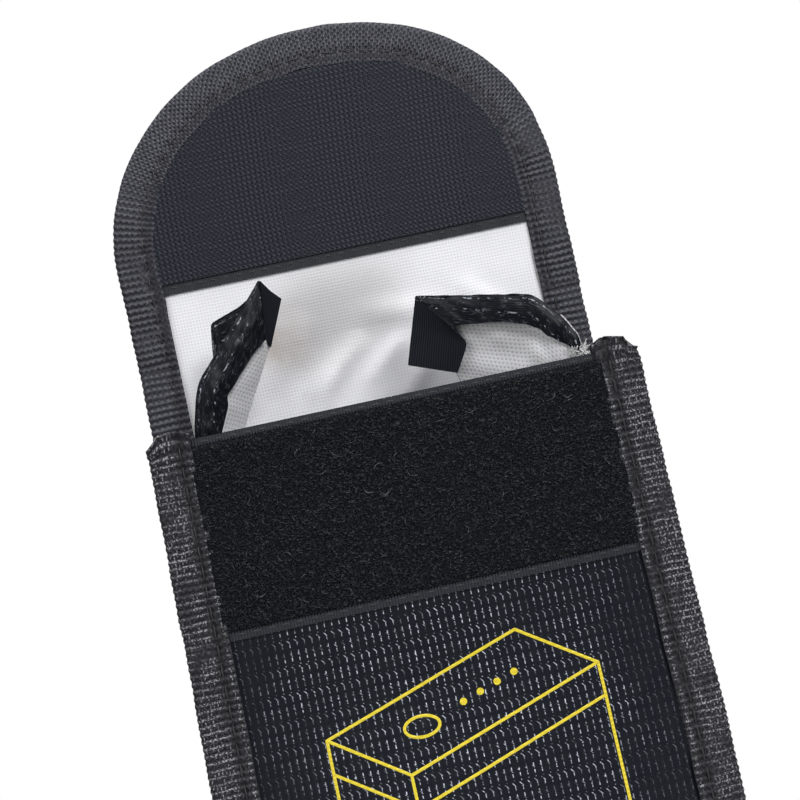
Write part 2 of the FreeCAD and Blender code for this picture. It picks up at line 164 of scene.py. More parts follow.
def lattice_noise(x, y, size, seed):
    """Smooth noise from -1 to 1 with lumps of about the given size."""
    table = np.random.default_rng(seed).uniform(-1, 1, (256, 256))
    px, py = np.asarray(x, float) / size + 100, np.asarray(y, float) / size + 100
    ix, iy = np.floor(px).astype(int), np.floor(py).astype(int)
    fx, fy = ease(px - ix), ease(py - iy)
    low = table[ix % 256, iy % 256] * (1 - fx) + table[(ix + 1) % 256, iy % 256] * fx
    high = table[ix % 256, (iy + 1) % 256] * (1 - fx) + table[(ix + 1) % 256, (iy + 1) % 256] * fx
    return low * (1 - fy) + high * fy


def resample(points, step):
    """Points an even distance apart along a polyline, and the distance along it of each."""
    points = np.asarray(points, float)
    along = np.concatenate([[0], np.cumsum(np.linalg.norm(np.diff(points, axis=0), axis=1))])
    distance = np.linspace(0, along[-1], max(2, int(round(along[-1] / step)) + 1))
    return np.stack([np.interp(distance, along, points[:, i]) for i in range(points.shape[1])], 1), distance


def rounded(points, radius):
    """A polyline with its inner corners rounded off."""
    points = [np.array(p, float) for p in points]
    result = [points[0]]
    for before, corner, after in zip(points, points[1:], points[2:]):
        a = corner + (before - corner) * min(0.45, radius / np.linalg.norm(before - corner))
        b = corner + (after - corner) * min(0.45, radius / np.linalg.norm(after - corner))
        t = np.linspace(0, 1, 8)[:, None]
        result += list((1 - t) ** 2 * a + 2 * t * (1 - t) * corner + t ** 2 * b)
    return np.array(result + [points[-1]])


class Piece:
    """Collects shells and tubes, in millimetres, into one mesh object with a cloth UV in metres.
    Each call that adds some gives the piece back."""

    def __init__(self):
        self.points, self.faces, self.uvs, self.count = [], [], [], 0

    def add(self, points, faces, uv):
        self.points.append(points.reshape(-1, 3))
        self.uvs.append(uv.reshape(-1, 2))
        self.faces += (np.asarray(faces) + self.count).tolist()
        self.count += self.points[-1].shape[0]
        return self

    def shell(self, grid, inner, outer, uv, toward):
        """Closed thin cloth on a grid of points, between two distances from it. toward points out of it."""
        across, along = np.gradient(grid, axis=0), np.gradient(grid, axis=1)
        normal = np.cross(across, along)
        normal /= np.maximum(np.linalg.norm(normal, axis=2, keepdims=True), 1e-9)
        flipped = np.mean(normal @ np.array(toward, float)) < 0
        normal = -normal if flipped else normal
        rows, columns = grid.shape[:2]
        index = np.arange(rows * columns).reshape(rows, columns)
        quads = np.stack([index[:-1, :-1], index[1:, :-1], index[1:, 1:], index[:-1, 1:]], -1).reshape(-1, 4)
        rim = np.concatenate([index[:-1, 0], index[-1, :-1], index[:0:-1, -1], index[0, :0:-1]])
        sides = np.stack([rim, rim + index.size, np.roll(rim, -1) + index.size, np.roll(rim, -1)], -1)
        faces = np.concatenate([quads, quads[:, ::-1] + index.size, sides])
        if flipped:
            faces = faces[:, ::-1]
        return self.add(np.stack([grid + normal * outer, grid + normal * inner]), faces, np.stack([uv, uv]))

    def rings(self, rings, uv):
        """Closed skins over rows of rings (rows, count, sides, 3), each with flat ends."""
        index = np.arange(rings[..., 0].size).reshape(rings.shape[:3])
        turned = np.roll(index, -1, axis=2)
        skin = np.stack([index[:, :-1], turned[:, :-1], turned[:, 1:], index[:, 1:]], -1).reshape(-1, 4)
        base = self.count
        self.add(rings, skin, uv)
        self.faces += (index[:, 0, ::-1] + base).tolist() + (index[:, -1] + base).tolist()
        return self

    def tubes(self, paths, radius, sides=4):
        """Many short round threads at once. paths is (count, points, 3); radius fits one point each."""
        tangent = np.gradient(paths, axis=1)
        tangent /= np.maximum(np.linalg.norm(tangent, axis=2, keepdims=True), 1e-9)
        helper = np.where(np.abs(tangent[..., 1:2]) > 0.9, [1.0, 0, 0], [0, 1.0, 0])
        first = np.cross(tangent, helper)
        first /= np.linalg.norm(first, axis=2, keepdims=True)
        second = np.cross(tangent, first)
        angle = np.arange(sides) * 2 * math.pi / sides
        ring = first[:, :, None] * np.cos(angle)[:, None] + second[:, :, None] * np.sin(angle)[:, None]
        radius = np.broadcast_to(radius, paths.shape[1])[None, :, None, None]
        points = paths[:, :, None] + ring * radius
        reach = np.cumsum(np.linalg.norm(np.diff(paths, axis=1, prepend=paths[:, :1]), axis=2), axis=1)
        uv = np.stack([np.broadcast_to(reach[..., None], points.shape[:3]),
                       np.broadcast_to(angle * 0.2, points.shape[:3])], -1)
        return self.rings(points, uv)

    def build(self, name, material, slot, *nodes):
        """Make the object, and hide the nodes of the CAD that it stands for."""
        mesh = bpy.data.meshes.new(name)
        mesh.from_pydata((np.concatenate(self.points) * METRES).tolist(), [], self.faces)
        layer = mesh.uv_layers.new(name="cloth")
        corner = np.zeros(len(mesh.loops), np.int32)
        mesh.loops.foreach_get("vertex_index", corner)
        layer.data.foreach_set("uv", (np.concatenate(self.uvs)[corner] * METRES).astype(np.float32).ravel())
        mesh.polygons.foreach_set("use_smooth", np.ones(len(mesh.polygons), bool))
        mesh.set_sharp_from_angle(angle=SHARP_EDGE)
        mesh.update()
        mesh.materials.append(material)
        piece = bpy.data.objects.new(name, mesh)
        bpy.context.scene.collection.objects.link(piece)
        if nodes:
            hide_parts(*nodes)
        pieces[name] = piece
        return piece


# Soft shape of the pouch

def belly(x, z):
    """Share of a panel's swelling: none under the closed flap, most in the middle below it."""
    upper = ease((BELLY_TOP - z) / (BELLY_TOP - BELLY_MIDDLE))
    lower = 1 - 0.5 * ease((BELLY_MIDDLE - z) / BELLY_MIDDLE)
    return upper * lower * (1 - 0.6 * (x / HALF_WIDTH) ** 2)


def flare(z):
    below = np.clip((MOUTH - z) / FLARE_RUN, 0, 1)
    return 1 + FLARE * below * ease(z / 45 + 0.1)


def limp(x, z):
    """Shallow unevenness of a worn panel, fading out under the closed flap."""
    fade = ease((BELLY_TOP + 6 - z) / 20)
    return fade * (0.5 * lattice_noise(x, z, 26, 3) + 0.22 * lattice_noise(x, z, 11, 4))


def front_place(x, z, depth):
    x, z, depth = np.broadcast_arrays(np.asarray(x, float), z, depth)
    y = FRONT_Y - depth - FRONT_BELLY * belly(x, z) - limp(x, z)
    return np.stack([x * flare(z) * FRONT_STRETCH + FRONT_SHIFT, y, z], -1)


def back_place(x, z, depth):
    """Depth is positive towards the outside, at the back."""
    x, z, depth = np.broadcast_arrays(np.asarray(x, float), z, depth)
    up = np.clip((z - MOUTH) / (FLAP_TIP_Z - MOUTH), 0, 1)
    y = BACK_Y + depth + BACK_BELLY * belly(x, z) + limp(-x, z)
    y = y + FLAP_BOW * np.sin(math.pi * up) * (1 - 0.5 * (x / HALF_WIDTH) ** 2)
    above = ease((z - MOUTH + 24) / 30)
    narrower = FLAP_NARROWING * above * (1 - ease((up - 0.35) / 0.65))
    lean = FLAP_LEAN * above * (1 - 1.5 * ease((up - 0.5) / 0.5))
    return np.stack([x * flare(z) * (1 - narrower) + lean, y, z], -1)


def pocket_half(z, inset):
    """Half width of a panel, inset from its edge, with round bottom corners."""
    radius = GROUND_CORNER - inset
    below = np.clip(GROUND_CORNER - z, 0, radius)
    return HALF_WIDTH - GROUND_CORNER + np.sqrt(np.maximum(radius ** 2 - below ** 2, 0))


def flap_half(z, inset):
    """Half width of the flap, inset from its edge, with its round end."""
    rise = FLAP_END_RISE + FLAP_TIP_PROUD - inset
    t = np.clip((z - FLAP_SPRING_Z) / rise, 0, 1)
    return (HALF_WIDTH - inset) * (1 - t ** FLAP_FULLNESS) ** (1 / FLAP_FULLNESS)


def cloth_grid(half_width, low, high, place, depth, step, columns):
    """Grid of a cloth between two heights, and its UV. half_width and depth are functions."""
    z = np.linspace(low, high, int((high - low) / step) + 2)
    x = half_width(z)[:, None] * np.linspace(-1, 1, columns)
    height = np.broadcast_to(z[:, None], x.shape)
    return place(x, height, depth(x, height)), np.stack([x, height], -1)


def pocket_edge(top):
    """Outer edge of a panel from its top right, round the bottom, to its top left."""
    turn = np.linspace(0, math.pi / 2, 16)
    centre, low = HALF_WIDTH - GROUND_CORNER, GROUND_CORNER
    right = [(centre + low * math.cos(a), low - low * math.sin(a)) for a in turn]
    left = [(-x, z) for x, z in reversed(right)]
    return [(HALF_WIDTH, top)] + right + left + [(-HALF_WIDTH, top)]


def flap_edge(low):
    """Outer edge of the flap from its lower right, over the round end, to its lower left."""
    turn = np.linspace(0, math.pi, 180)
    power = 2 / FLAP_FULLNESS
    x = HALF_WIDTH * np.sign(np.cos(turn)) * np.abs(np.cos(turn)) ** power
    z = FLAP_SPRING_Z + (FLAP_END_RISE + FLAP_TIP_PROUD) * np.abs(np.sin(turn)) ** power
    return [(HALF_WIDTH, low)] + list(zip(x, z)) + [(-HALF_WIDTH, low)]


def edge_frame(edge, step, inward):
    """Places, inward directions and distances along an edge. inward is a point inside."""
    points, along = resample(edge, step)
    tangent = np.gradient(points, axis=0)
    tangent /= np.linalg.norm(tangent, axis=1, keepdims=True)
    normal = np.stack([-tangent[:, 1], tangent[:, 0]], 1)
    if np.sum((np.array(inward) - points) * normal) < 0:
        normal = -normal
    return points, normal, along


def tape_section(width, radius, steps, turns):
    """Half-round folded section: (inset, depth) from one leg's edge round the fold to the other."""
    leg = np.linspace(width, radius, steps)
    turn = np.linspace(math.pi / 2, -math.pi / 2, turns + 2)[1:-1]
    inset = np.concatenate([leg, radius - radius * np.cos(turn), leg[::-1]])
    depth = np.concatenate([np.full(steps, radius), radius * np.sin(turn), np.full(steps, -radius)])
    return inset, depth


def ribbed_weave(s, w, pinch):
    """Height from 0 to 1 of the tape: rounded ribs across it, pinched where threads cross them."""
    rib = (0.5 + 0.5 * np.cos(2 * math.pi * s / RIB_PITCH)) ** 0.7
    return rib * (1 - pinch + pinch * (0.5 + 0.5 * np.cos(2 * math.pi * w / THREAD_PITCH)))


def add_edging(piece, edge, inward, place, pinch, seed, ends):
    """Woven tape folded over an edge. Stitches pull its legs in, and pinch is how much its threads
    do. ends gives, for the first and the last cut end, how far it stands up at a few insets."""
    points, normal, along = edge_frame(edge, RIB_PITCH / 5, inward)
    outer_inset, outer_depth = tape_section(TAPE_WIDTH, EDGING_HALF, 20, 7)
    inner_inset, inner_depth = tape_section(TAPE_WIDTH, EDGING_HALF - TAPE_CLOTH, 3, 2)
    inner_inset[inner_inset < TAPE_CLOTH] = TAPE_CLOTH
    turned = np.gradient(np.stack([outer_inset, outer_depth], 1), axis=0)
    out = np.stack([turned[:, 1], -turned[:, 0]], 1)
    out /= np.linalg.norm(out, axis=1, keepdims=True)
    if out[0, 1] < 0:
        out = -out
    across = np.cumsum(np.r_[0, np.hypot(np.diff(outer_inset), np.diff(outer_depth))])
    s, w = along[:, None], across[None, :]
    stitch = np.exp(-((outer_inset[None, :] - STITCH_INSET) / PULL_WIDTH) ** 2)
    pulled = stitch * (PULL_DEPTH + PULL_WAVE * np.cos(2 * math.pi * s / STITCH_PITCH))
    bent = s + 0.4 * lattice_noise(s, w, 6, seed) + 0.06 * lattice_noise(s, w, 1.5, seed + 5)
    edge_fade = ease((TAPE_WIDTH + 0.3 - outer_inset[None, :]) / 1.2)
    stretched = ease((points[:, 1:] - FLAP_SPRING_Z - 4) / 16)
    lift = RIB_HEIGHT * ribbed_weave(bent, w, pinch) * (0.35 + 0.65 * edge_fade) * (1 - 0.75 * stretched)
    lift = lift - pulled + 0.12 * lattice_noise(s, w, 4, seed + 1)
    waver = 0.2 * lattice_noise(along, along * 0, 6, seed + 2)[:, None]
    inset = outer_inset + out[:, 0] * lift + waver * (outer_inset[None, :] / TAPE_WIDTH) ** 2
    depth = outer_depth + out[:, 1] * lift
    inset = np.concatenate([inset, np.broadcast_to(inner_inset[::-1], (len(s), inner_inset.size))], 1)
    depth = np.concatenate([depth, np.broadcast_to(inner_depth[::-1], (len(s), inner_inset.size))], 1)
    x = points[:, :1] + normal[:, :1] * inset
    z = points[:, 1:] + normal[:, 1:] * inset
    for distance, rises in zip((along, along[-1] - along), ends):
        near = ease(1 - distance / END_LENGTH)[:, None]
        z = z + near * np.interp(inset, *np.array(rises, float).T)
        depth = depth * (1 + near * (END_SWELL + 0.2 * lattice_noise(x, z, 1.3, seed + 3)))
        x = x + near * 0.35 * lattice_noise(z, depth, 1.1, seed + 4)
    inner_across = np.interp(inner_depth[::-1], [-EDGING_HALF, EDGING_HALF], [across[-1], 0])
    v = np.broadcast_to(np.concatenate([across, inner_across]), x.shape)
    z = np.maximum(z, 0)
    piece.rings(place(x, z, depth)[None], np.stack([np.broadcast_to(s, x.shape), v], -1))


def add_stitches(piece, edge, inward, place, inset, depth, pitch, length):
    """A row of sewing thread along an edge. Each stitch rises out of the cloth and dives back in."""
    points, normal, along = edge_frame(edge, 0.3, inward)
    inner = points + normal * inset
    inner, along = resample(inner, 0.3)
    starts = np.arange(pitch / 2, along[-1] - length, pitch)
    t = np.linspace(0, 1, 7)
    s = starts[:, None] + t * length
    x, z = np.interp(s, along, inner[:, 0]), np.interp(s, along, inner[:, 1])
    rise = math.copysign(0.3, depth) * (4 * t * (1 - t)) - math.copysign(0.16, depth)
    piece.tubes(place(x, z, depth + rise), THREAD_RADIUS * np.array([0.5, 0.85, 0.95, 1, 0.95, 0.85, 0.5]), 6)


# Materials

class Field:
    """A number that varies over a surface. Arithmetic on it adds shader nodes."""

    def __init__(self, graph, socket):
        self.graph, self.socket = graph, socket

    def __add__(self, other):
        return self.graph.math("ADD", self, other)

    def __sub__(self, other):
        return self.graph.math("SUBTRACT", self, other)

    def __rsub__(self, other):
        return self.graph.math("SUBTRACT", other, self)

    def __mul__(self, other):
        return self.graph.math("MULTIPLY", self, other)

    def __truediv__(self, other):
        return self.graph.math("DIVIDE", self, other)


class Graph:
    """A procedural material, with short ways to write its nodes. u and v are millimetres of cloth."""

    def __init__(self, name, roughness, **constants):
        self.material = bpy.data.materials.new(name)
        self.material.use_nodes = True
        self.nodes, self.links = self.material.node_tree.nodes, self.material.node_tree.links
        self.shader = self.nodes["Principled BSDF"]
        self.shader.inputs["Roughness"].default_value = roughness
        for socket, value in constants.items():
            self.shader.inputs[socket.replace("_", " ")].default_value = value
        self.uv = self.vector("MULTIPLY", self.node("UVMap", uv_map="cloth").outputs[0], (1 / METRES,) * 3)
        parts = self.node("SeparateXYZ", self.uv)
        self.u, self.v = Field(self, parts.outputs[0]), Field(self, parts.outputs[1])

    def node(self, kind, *values, **settings):
        """Add a node with some settings, and feed values to its first inputs."""
        node = self.nodes.new("ShaderNode" + kind)
        for setting, value in settings.items():
            setattr(node, setting, value)
        for socket, value in zip(node.inputs, values):
            self.feed(socket, value)
        return node

    def feed(self, socket, value):
        if isinstance(value, Field):
            value = value.socket
        if isinstance(value, bpy.types.NodeSocket):
            self.links.new(value, socket)
        else:
            socket.default_value = value

    def vector(self, operation, *values):
        return self.node("VectorMath", *values, operation=operation).outputs[0]

    def math(self, operation, *values, clamp=False):
        return Field(self, self.node("Math", *values, operation=operation, use_clamp=clamp).outputs[0])

    def most(self, a, b):
        return self.math("MAXIMUM", a, b)

    def noise(self, size, detail=2.0, stretch=(1, 1, 1)):
        """Noise from 0 to 1 with lumps of about the given size."""
        node = self.node("TexNoise", self.vector("MULTIPLY", self.uv, stretch))
        node.inputs["Scale"].default_value = 1 / size
        node.inputs["Detail"].default_value = detail
        return Field(self, node.outputs[0])

    def band(self, value, centre, width, soft):
        """1 where value is within width of centre, falling to 0 over soft."""
        return self.step(self.math("ABSOLUTE", value - centre), width + soft, width)

    def step(self, value, low, high):
        """0 at low, 1 at high, smooth between."""
        node = self.node("MapRange", value, low, high, interpolation_type="SMOOTHSTEP")
        return Field(self, node.outputs[0])

    def repeat(self, value, pitch):
        """Place within a repeat, from 0 to 1."""
        return self.math("FRACT", value / pitch)

    def wave(self, value, pitch):
        """Cosine wave from 0 to 1."""
        return self.math("COSINE", value * (2 * math.pi / pitch)) * 0.5 + 0.5

    def mix(self, share, a, b):
        """The colour a at a share of 0, and b at 1. Each is a socket or (red, green, blue)."""
        node = self.node("Mix", share, data_type="RGBA")
        for socket, value in zip(node.inputs[6:], (a, b)):
            self.feed(socket, (*value, 1) if isinstance(value, tuple) else value)
        return node.outputs[2]

    def finish(self, colour, height=None, depth=None):
        """Set the colour, and a height from 0 to 1 that stands for depth millimetres."""
        self.feed(self.shader.inputs["Base Color"], colour)
        if height is not None:
            bump = self.node("Bump", 1.0, depth * METRES)
            self.feed(bump.inputs["Height"], height)
            self.links.new(bump.outputs[0], self.shader.inputs["Normal"])
        return self.material


def grey(value, blue=1.0):
    return value, value, value * blue


def outer_cloth_material():
    """Coated glass cloth: glossy blue-black, with knitted columns of pale dashes and slanted strokes,
    which are painted glints in its colour. The painted glints show in patchy painted sheen, most down the middle of
    a panel."""
    g = Graph("coated glass cloth", 0.34, Specular_IOR_Level=0.28, Coat_Weight=0.1, Coat_Roughness=0.22)
    u = g.u + (g.noise(18) * 0.5 - 0.25)
    column, row = g.repeat(u, CLOTH_COLUMN), g.repeat(g.v, CLOTH_ROW)
    tick = g.repeat(g.v + g.noise(1.3, 1) * 0.5, CLOTH_TICK)
    dashes = g.band(column, 0.5, 0.035, 0.06) * g.band(tick, 0.5, 0.24, 0.08) * g.band(row, 0.65, 0.26, 0.04)
    slant = row * 2.9 + column
    strokes = g.most(g.band(slant, 1.1, 0.03, 0.08) * g.band(row, 0.24, 0.05, 0.04),
                     g.band(slant, 2.6, 0.02, 0.08) * g.band(row, 0.74, 0.035, 0.03))
    stems = g.band(column, 0.5, 0.03, 0.05) * g.band(row, 0.11, 0.07, 0.03)
    lines = g.most(dashes, g.most(strokes, stems) * 0.75)
    # painted sheen: the glints are brighter in large noisy blotches and down the middle of the panel
    painted_sheen_patches = g.step(g.noise(17, 3, (1, 0.6, 1)) * 0.8 + g.band(g.u, 0, 8, 26) * 0.22, 0.38, 0.6)
    speckle = g.step(g.noise(0.4, 2), 0.34, 0.6) * g.step(g.noise(2.0, 1), 0.2, 0.62)
    ground = g.mix(g.noise(0.35, 3), (0.0003, 0.0006, 0.002), (0.013, 0.0155, 0.024))
    # the pale dashes and strokes are painted glints over the dark ground
    colour = g.mix(lines * (painted_sheen_patches * 0.86 + 0.14) * speckle, ground, (0.68, 0.73, 0.84))
    g.feed(g.shader.inputs["Roughness"], g.noise(3, 3) * 0.25 + 0.22)
    relief = g.wave(u - 0.7, CLOTH_COLUMN) * 0.6 + lines * 0.5 + g.wave(g.v, CLOTH_TICK) * 0.14
    return g.finish(colour, relief, 0.12)


def lining_material(name, dull, clean, holes_share, pitch):
    """Fine off-white glass cloth, mottled at random, with painted grey and warm brown shade over the mouth."""
    g = Graph(name, 0.5)
    weave = g.wave(g.u, pitch) * 0.5 + g.wave(g.v, pitch) * 0.5
    colour = g.mix(g.noise(9, 3), grey(dull, 1.02), grey(clean, 1.05))
    # painted shade: warm brown-grey over the mouth, left of the middle
    painted_mouth_shade = g.band(g.v, MOUTH + 16, 1, 9) * g.band(g.u, -16, 1, 9) * (g.noise(6, 3) * 1.2 + 0.1)
    colour = g.mix(painted_mouth_shade, colour, (0.4, 0.34, 0.29))
    # painted shade: a wide soft grey shadow over the mouth
    painted_soft_shade = g.band(g.v, MOUTH + 19, 2, 12) * g.band(g.u, -4, 5, 15)
    colour = g.mix(painted_soft_shade * 0.8, colour, (0.42, 0.41, 0.42))
    colour = g.mix(g.step(weave, 0.34, 0.08) * holes_share, colour, grey(dull * 0.6))
    return g.finish(colour, weave, 0.035)


def binding_material(name, dark, pale, shine, stretched_at=None):
    """Ribbed tape. Its rib crests are painted paler and its valleys and stitch groove darker, as painted shade.
    Short dashes of painted glints lie on its ribs, with fainter painted glints between them, most along its outer
    fold and inner edge. Round the flap's end, in the middle of its length, the ribs are stretched into a finer,
    paler weave."""
    g = Graph(name, 0.6, Specular_IOR_Level=0.2)
    s = g.u + (g.noise(6, 1) * 0.8 - 0.4)
    v = g.v + g.noise(2.5, 1) * 0.5
    rib, phase = g.wave(s, RIB_PITCH), g.repeat(s + RIB_PITCH / 2, RIB_PITCH)
    row = g.math("FLOOR", s / (RIB_PITCH / 2))
    brick = g.wave(row * (THREAD_PITCH / 2) + v, THREAD_PITCH)
    if stretched_at is not None:
        stretched = g.band(g.u, stretched_at, 44, 16)
        rib = rib + stretched * (brick * g.wave(s, RIB_PITCH / 2) - rib)
    fibres = g.noise(0.3, 3, (1.4, 0.8, 1))
    leg = g.math("PINGPONG", g.v, TAPE_ROUND / 2)
    groove = g.band(leg, TAPE_WIDTH - STITCH_INSET, 0.1, 0.7)
    # rib crests paler and valleys darker: painted shade of the ribs, over the weave and the fibres
    weave_and_rib_shade = (rib * 0.5 + brick * 0.35) * (fibres * 1.5 + 0.1)
    # darker along the stitch groove: painted shade
    weave_and_rib_shade = g.math("MULTIPLY", weave_and_rib_shade, 1.0 - groove * 0.5, clamp=True)
    if stretched_at is not None:
        weave_and_rib_shade = weave_and_rib_shade * (stretched * 0.62 + 0.77)
    dashes = g.band(phase, 0.5, 0.09, 0.11) * g.step(g.noise(0.36, 1), 0.47, 0.56)
    between = g.band(phase, 0.02, 0.03, 0.12) * g.step(g.noise(0.34, 1, (0.8, 1, 1)), 0.52, 0.6)
    ties = g.band(g.repeat(v, TIE_PITCH), 0.5, 0.09, 0.12) * g.step(rib, 0.62, 0.3)
    ties = ties * g.step(g.noise(0.7, 1), 0.5, 0.62)
    lines = g.most(dashes, g.most(between * 0.35, ties * 0.85))
    # painted glints show most along the outer fold and the inner edge, in noisy blotches
    painted_glint_band = g.most(g.band(leg, 6.3, 2.6, 1.2), g.band(leg, 0.7, 0.2, 0.4))
    patchy = g.step(g.noise(4, 3), 0.3, 0.55) * (painted_glint_band * 0.85 + 0.15)
    # the dashes and ties are painted glints in the colour
    colour = g.mix(lines * patchy * shine, g.mix(weave_and_rib_shade, dark, pale), (0.5, 0.5, 0.54))
    return g.finish(colour, rib * brick + fibres * 0.5, 0.2)


def pile_material():
    """Backing of the loop tape: near-black felted fuzz."""
    g = Graph("loop pile", 0.95, Specular_IOR_Level=0.1)
    fine = g.noise(0.3, 3)
    colour = g.mix(g.step(fine, 0.35, 0.7), (0.001, 0.0012, 0.002), (0.016, 0.018, 0.024))
    return g.finish(colour, g.noise(1.6, 3) + fine, 0.5)


def fibre_material(name, dark, pale):
    g = Graph(name, 0.5)
    return g.finish(g.mix(g.step(g.noise(0.9, 2), 0.4, 0.75), dark, pale))


def selvage_material(name, dark, pale):
    """Ribbed edge of a closure tape."""
    g = Graph(name, 0.6)
    ribs = g.wave(g.u, 0.55)
    return g.finish(g.mix(ribs * g.noise(1.2, 2), dark, pale), ribs, 0.06)


def hook_ground_material():
    """Woven ground of the hook tape, navy black with zigzag columns."""
    g = Graph("hook tape ground", 0.6, Specular_IOR_Level=0.3)
    columns = g.wave(g.math("PINGPONG", g.v, 0.5) * 0.9 + g.u, 1.0)
    return g.finish(g.mix(columns, (0.004, 0.006, 0.012), (0.012, 0.0145, 0.026)), columns, 0.08)


def ribbon_material(name, roughness, shine, pale):
    """Black hem ribbon: fine threads along it, and small painted glints on its creases and edges."""
    g = Graph(name, roughness, Specular_IOR_Level=0.1)
    creases, threads = g.noise(1.4, 2, (0.5, 1.6, 1)), g.wave(g.v, 0.45)
    v = g.v + (g.noise(5, 2) * 1.4 - 0.7)
    edges = g.most(g.band(v, 0.75, 0.06, 0.2), g.band(v, 3.9, 0.05, 0.18))
    # painted glints along the edges and, fainter, along the creases
    painted_edge_glints = g.step(g.noise(0.75, 2, (0.8, 1.3, 1)), 0.55, 0.64) * edges
    painted_crease_glints = g.band(creases, 0.5, 0.004, 0.02) * g.step(g.noise(1.2, 1), 0.42, 0.6)
    base = g.mix(threads, (0.0015, 0.002, 0.0035), pale)
    colour = g.mix(g.most(painted_edge_glints, painted_crease_glints * 0.2) * shine, base, (0.5, 0.54, 0.62))
    return g.finish(colour, creases * 0.5 + threads * 0.12, 0.14)


def thread_material():
    g = Graph("sewing thread", 0.5)
    twist = g.wave(g.u + g.v * 1.6, 0.45)
    return g.finish(g.mix(twist, grey(0.015), grey(0.055, 1.1)), twist, 0.05)


def print_material():
    """Yellow screen print that follows the cloth's weave and thins out in its gaps."""
    g = Graph("yellow print", 0.42, Coat_Weight=0.15)
    patchy = g.step(g.noise(0.5, 3), 0.6, 0.75) * 0.5
    colour = g.mix(patchy, (0.7, 0.56, 0.03), (0.4, 0.3, 0.02))
    return g.finish(colour, g.wave(g.u, CLOTH_COLUMN) * g.wave(g.v, 0.82), 0.08)


OUTER = outer_cloth_material()
LINING = lining_material("white glass cloth", 0.68, 0.84, 0.4, 0.62)
EAR_LINING = lining_material("open white glass cloth", 0.46, 0.58, 0.9, 0.8)
FLAP_EDGE_MIDDLE = edge_frame(flap_edge(SPLIT_Z), 1.0, (0, FLAP_SPRING_Z))[2][-1] / 2
BINDING_TONES = (0.006, 0.006, 0.009), (0.12, 0.12, 0.148)
BINDING = binding_material("binding tape", *BINDING_TONES, 0.1)
FLAP_BINDING = binding_material("flap binding tape", *BINDING_TONES, 0.12, FLAP_EDGE_MIDDLE)
# front binding, with brighter painted glints
GLINT_PAINTED_BINDING = binding_material("binding tape with painted glints", (0.003, 0.003, 0.005), (0.05, 0.05, 0.057), 0.55)
PILE = pile_material()
LOOPS = fibre_material("loop fibres", (0.002, 0.0025, 0.004), (0.1, 0.112, 0.14))
HOOKS = fibre_material("hook fibres", (0.0035, 0.005, 0.011), (0.0085, 0.011, 0.023))
STRAYS = fibre_material("stray fibres", (0.03, 0.033, 0.045), (0.22, 0.24, 0.3))
FRAY = fibre_material("white glass fibres", grey(0.6), grey(0.95))
LOOP_SELVAGE = selvage_material("loop tape selvage", (0.003, 0.004, 0.008), (0.03, 0.036, 0.054))
HOOK_SELVAGE = selvage_material("hook tape selvage", (0.002, 0.003, 0.006), (0.013, 0.016, 0.025))
HOOK_GROUND = hook_ground_material()
RIBBON = ribbon_material("glossy hem ribbon", 0.42, 0.5, (0.005, 0.006, 0.01))
MATT_RIBBON = ribbon_material("matt hem ribbon", 0.85, 0.0, (0.012, 0.014, 0.02))
THREAD = thread_material()
PRINT = print_material()


# Panels

def outer_depth(x, z):
    return LINING_CLOTH / 2


def lining_depth(x, z):
    return -OUTER_CLOTH / 2


def crease(x, z, start, end, width):
    """Share of a soft ridge along a line between two points (x, z)."""
    start, end = np.array(start, float), np.array(end, float)
    run = end - start
    t = np.clip(((x - start[0]) * run[0] + (z - start[1]) * run[1]) / (run @ run), 0, 1)
    gap = np.hypot(x - start[0] - t * run[0], z - start[1] - t * run[1])
    return np.exp(-(gap / width) ** 2) * np.sin(math.pi * np.clip(t, 0.03, 0.97))


BRIDGE_CREASES = (            # start, end, width, height, with z over the mouth
    ((-14, 2), (1, 14), 2.0, 1.3), ((3, -3), (13, 7), 1.6, 1.0), ((-20, 4), (-10, 21), 2.6, 0.9),
    ((-2, 18), (20, 15), 2.4, 0.7), ((-6, 9), (-16, -6), 1.8, 1.1), ((20, 21), (32, 8), 2.2, 0.7),
    ((-2, 3), (9, 13), 1.5, 0.9),
)


def creased_lining_depth(x, z):
    """The lining over the mouth has soft creases from being folded."""
    height = sum(rise * crease(x, z, (a[0], MOUTH + a[1]), (b[0], MOUTH + b[1]), width)
                 for a, b, width, rise in BRIDGE_CREASES)
    return lining_depth(x, z) - height


def panel_pieces():
    """Front and back panels and the flap, each an outer cloth and a lining."""
    low, inset = 0.6, TAPE_CLOTH + 0.2
    tip = FLAP_TIP_Z + FLAP_TIP_PROUD - inset - 0.1
    panels = (
        ("front", pocket_half, low, MOUTH, front_place, FORWARD, lining_depth,
         ["front_panel"], ["front_lining"]),
        ("back", pocket_half, low, SPLIT_Z, back_place, BACKWARD, creased_lining_depth,
         ["back_panel", "bridge_panel"], ["back_lining", "bridge_lining"]),
        ("flap", flap_half, SPLIT_Z, tip, back_place, BACKWARD, creased_lining_depth,
         ["tongue_panel"], ["tongue_lining"]),
    )
    for word, half_width, bottom, top, place, toward, inner_depth, cloth_nodes, lining_nodes in panels:
        for layer, depth, thick, material, slot, nodes in (
                ("cloth", outer_depth, OUTER_CLOTH, OUTER, "outer_cloth", cloth_nodes),
                ("inside", inner_depth, LINING_CLOTH, LINING, "lining_cloth", lining_nodes)):
            grid, uv = cloth_grid(lambda z: half_width(z, inset), bottom, top, place, depth, PANEL_STEP,
                                  int(2 * HALF_WIDTH / PANEL_STEP) + 1)
            piece = Piece().shell(grid, -thick / 2, thick / 2, uv, toward)
            piece.build(word + "_" + layer, material, slot, *nodes)


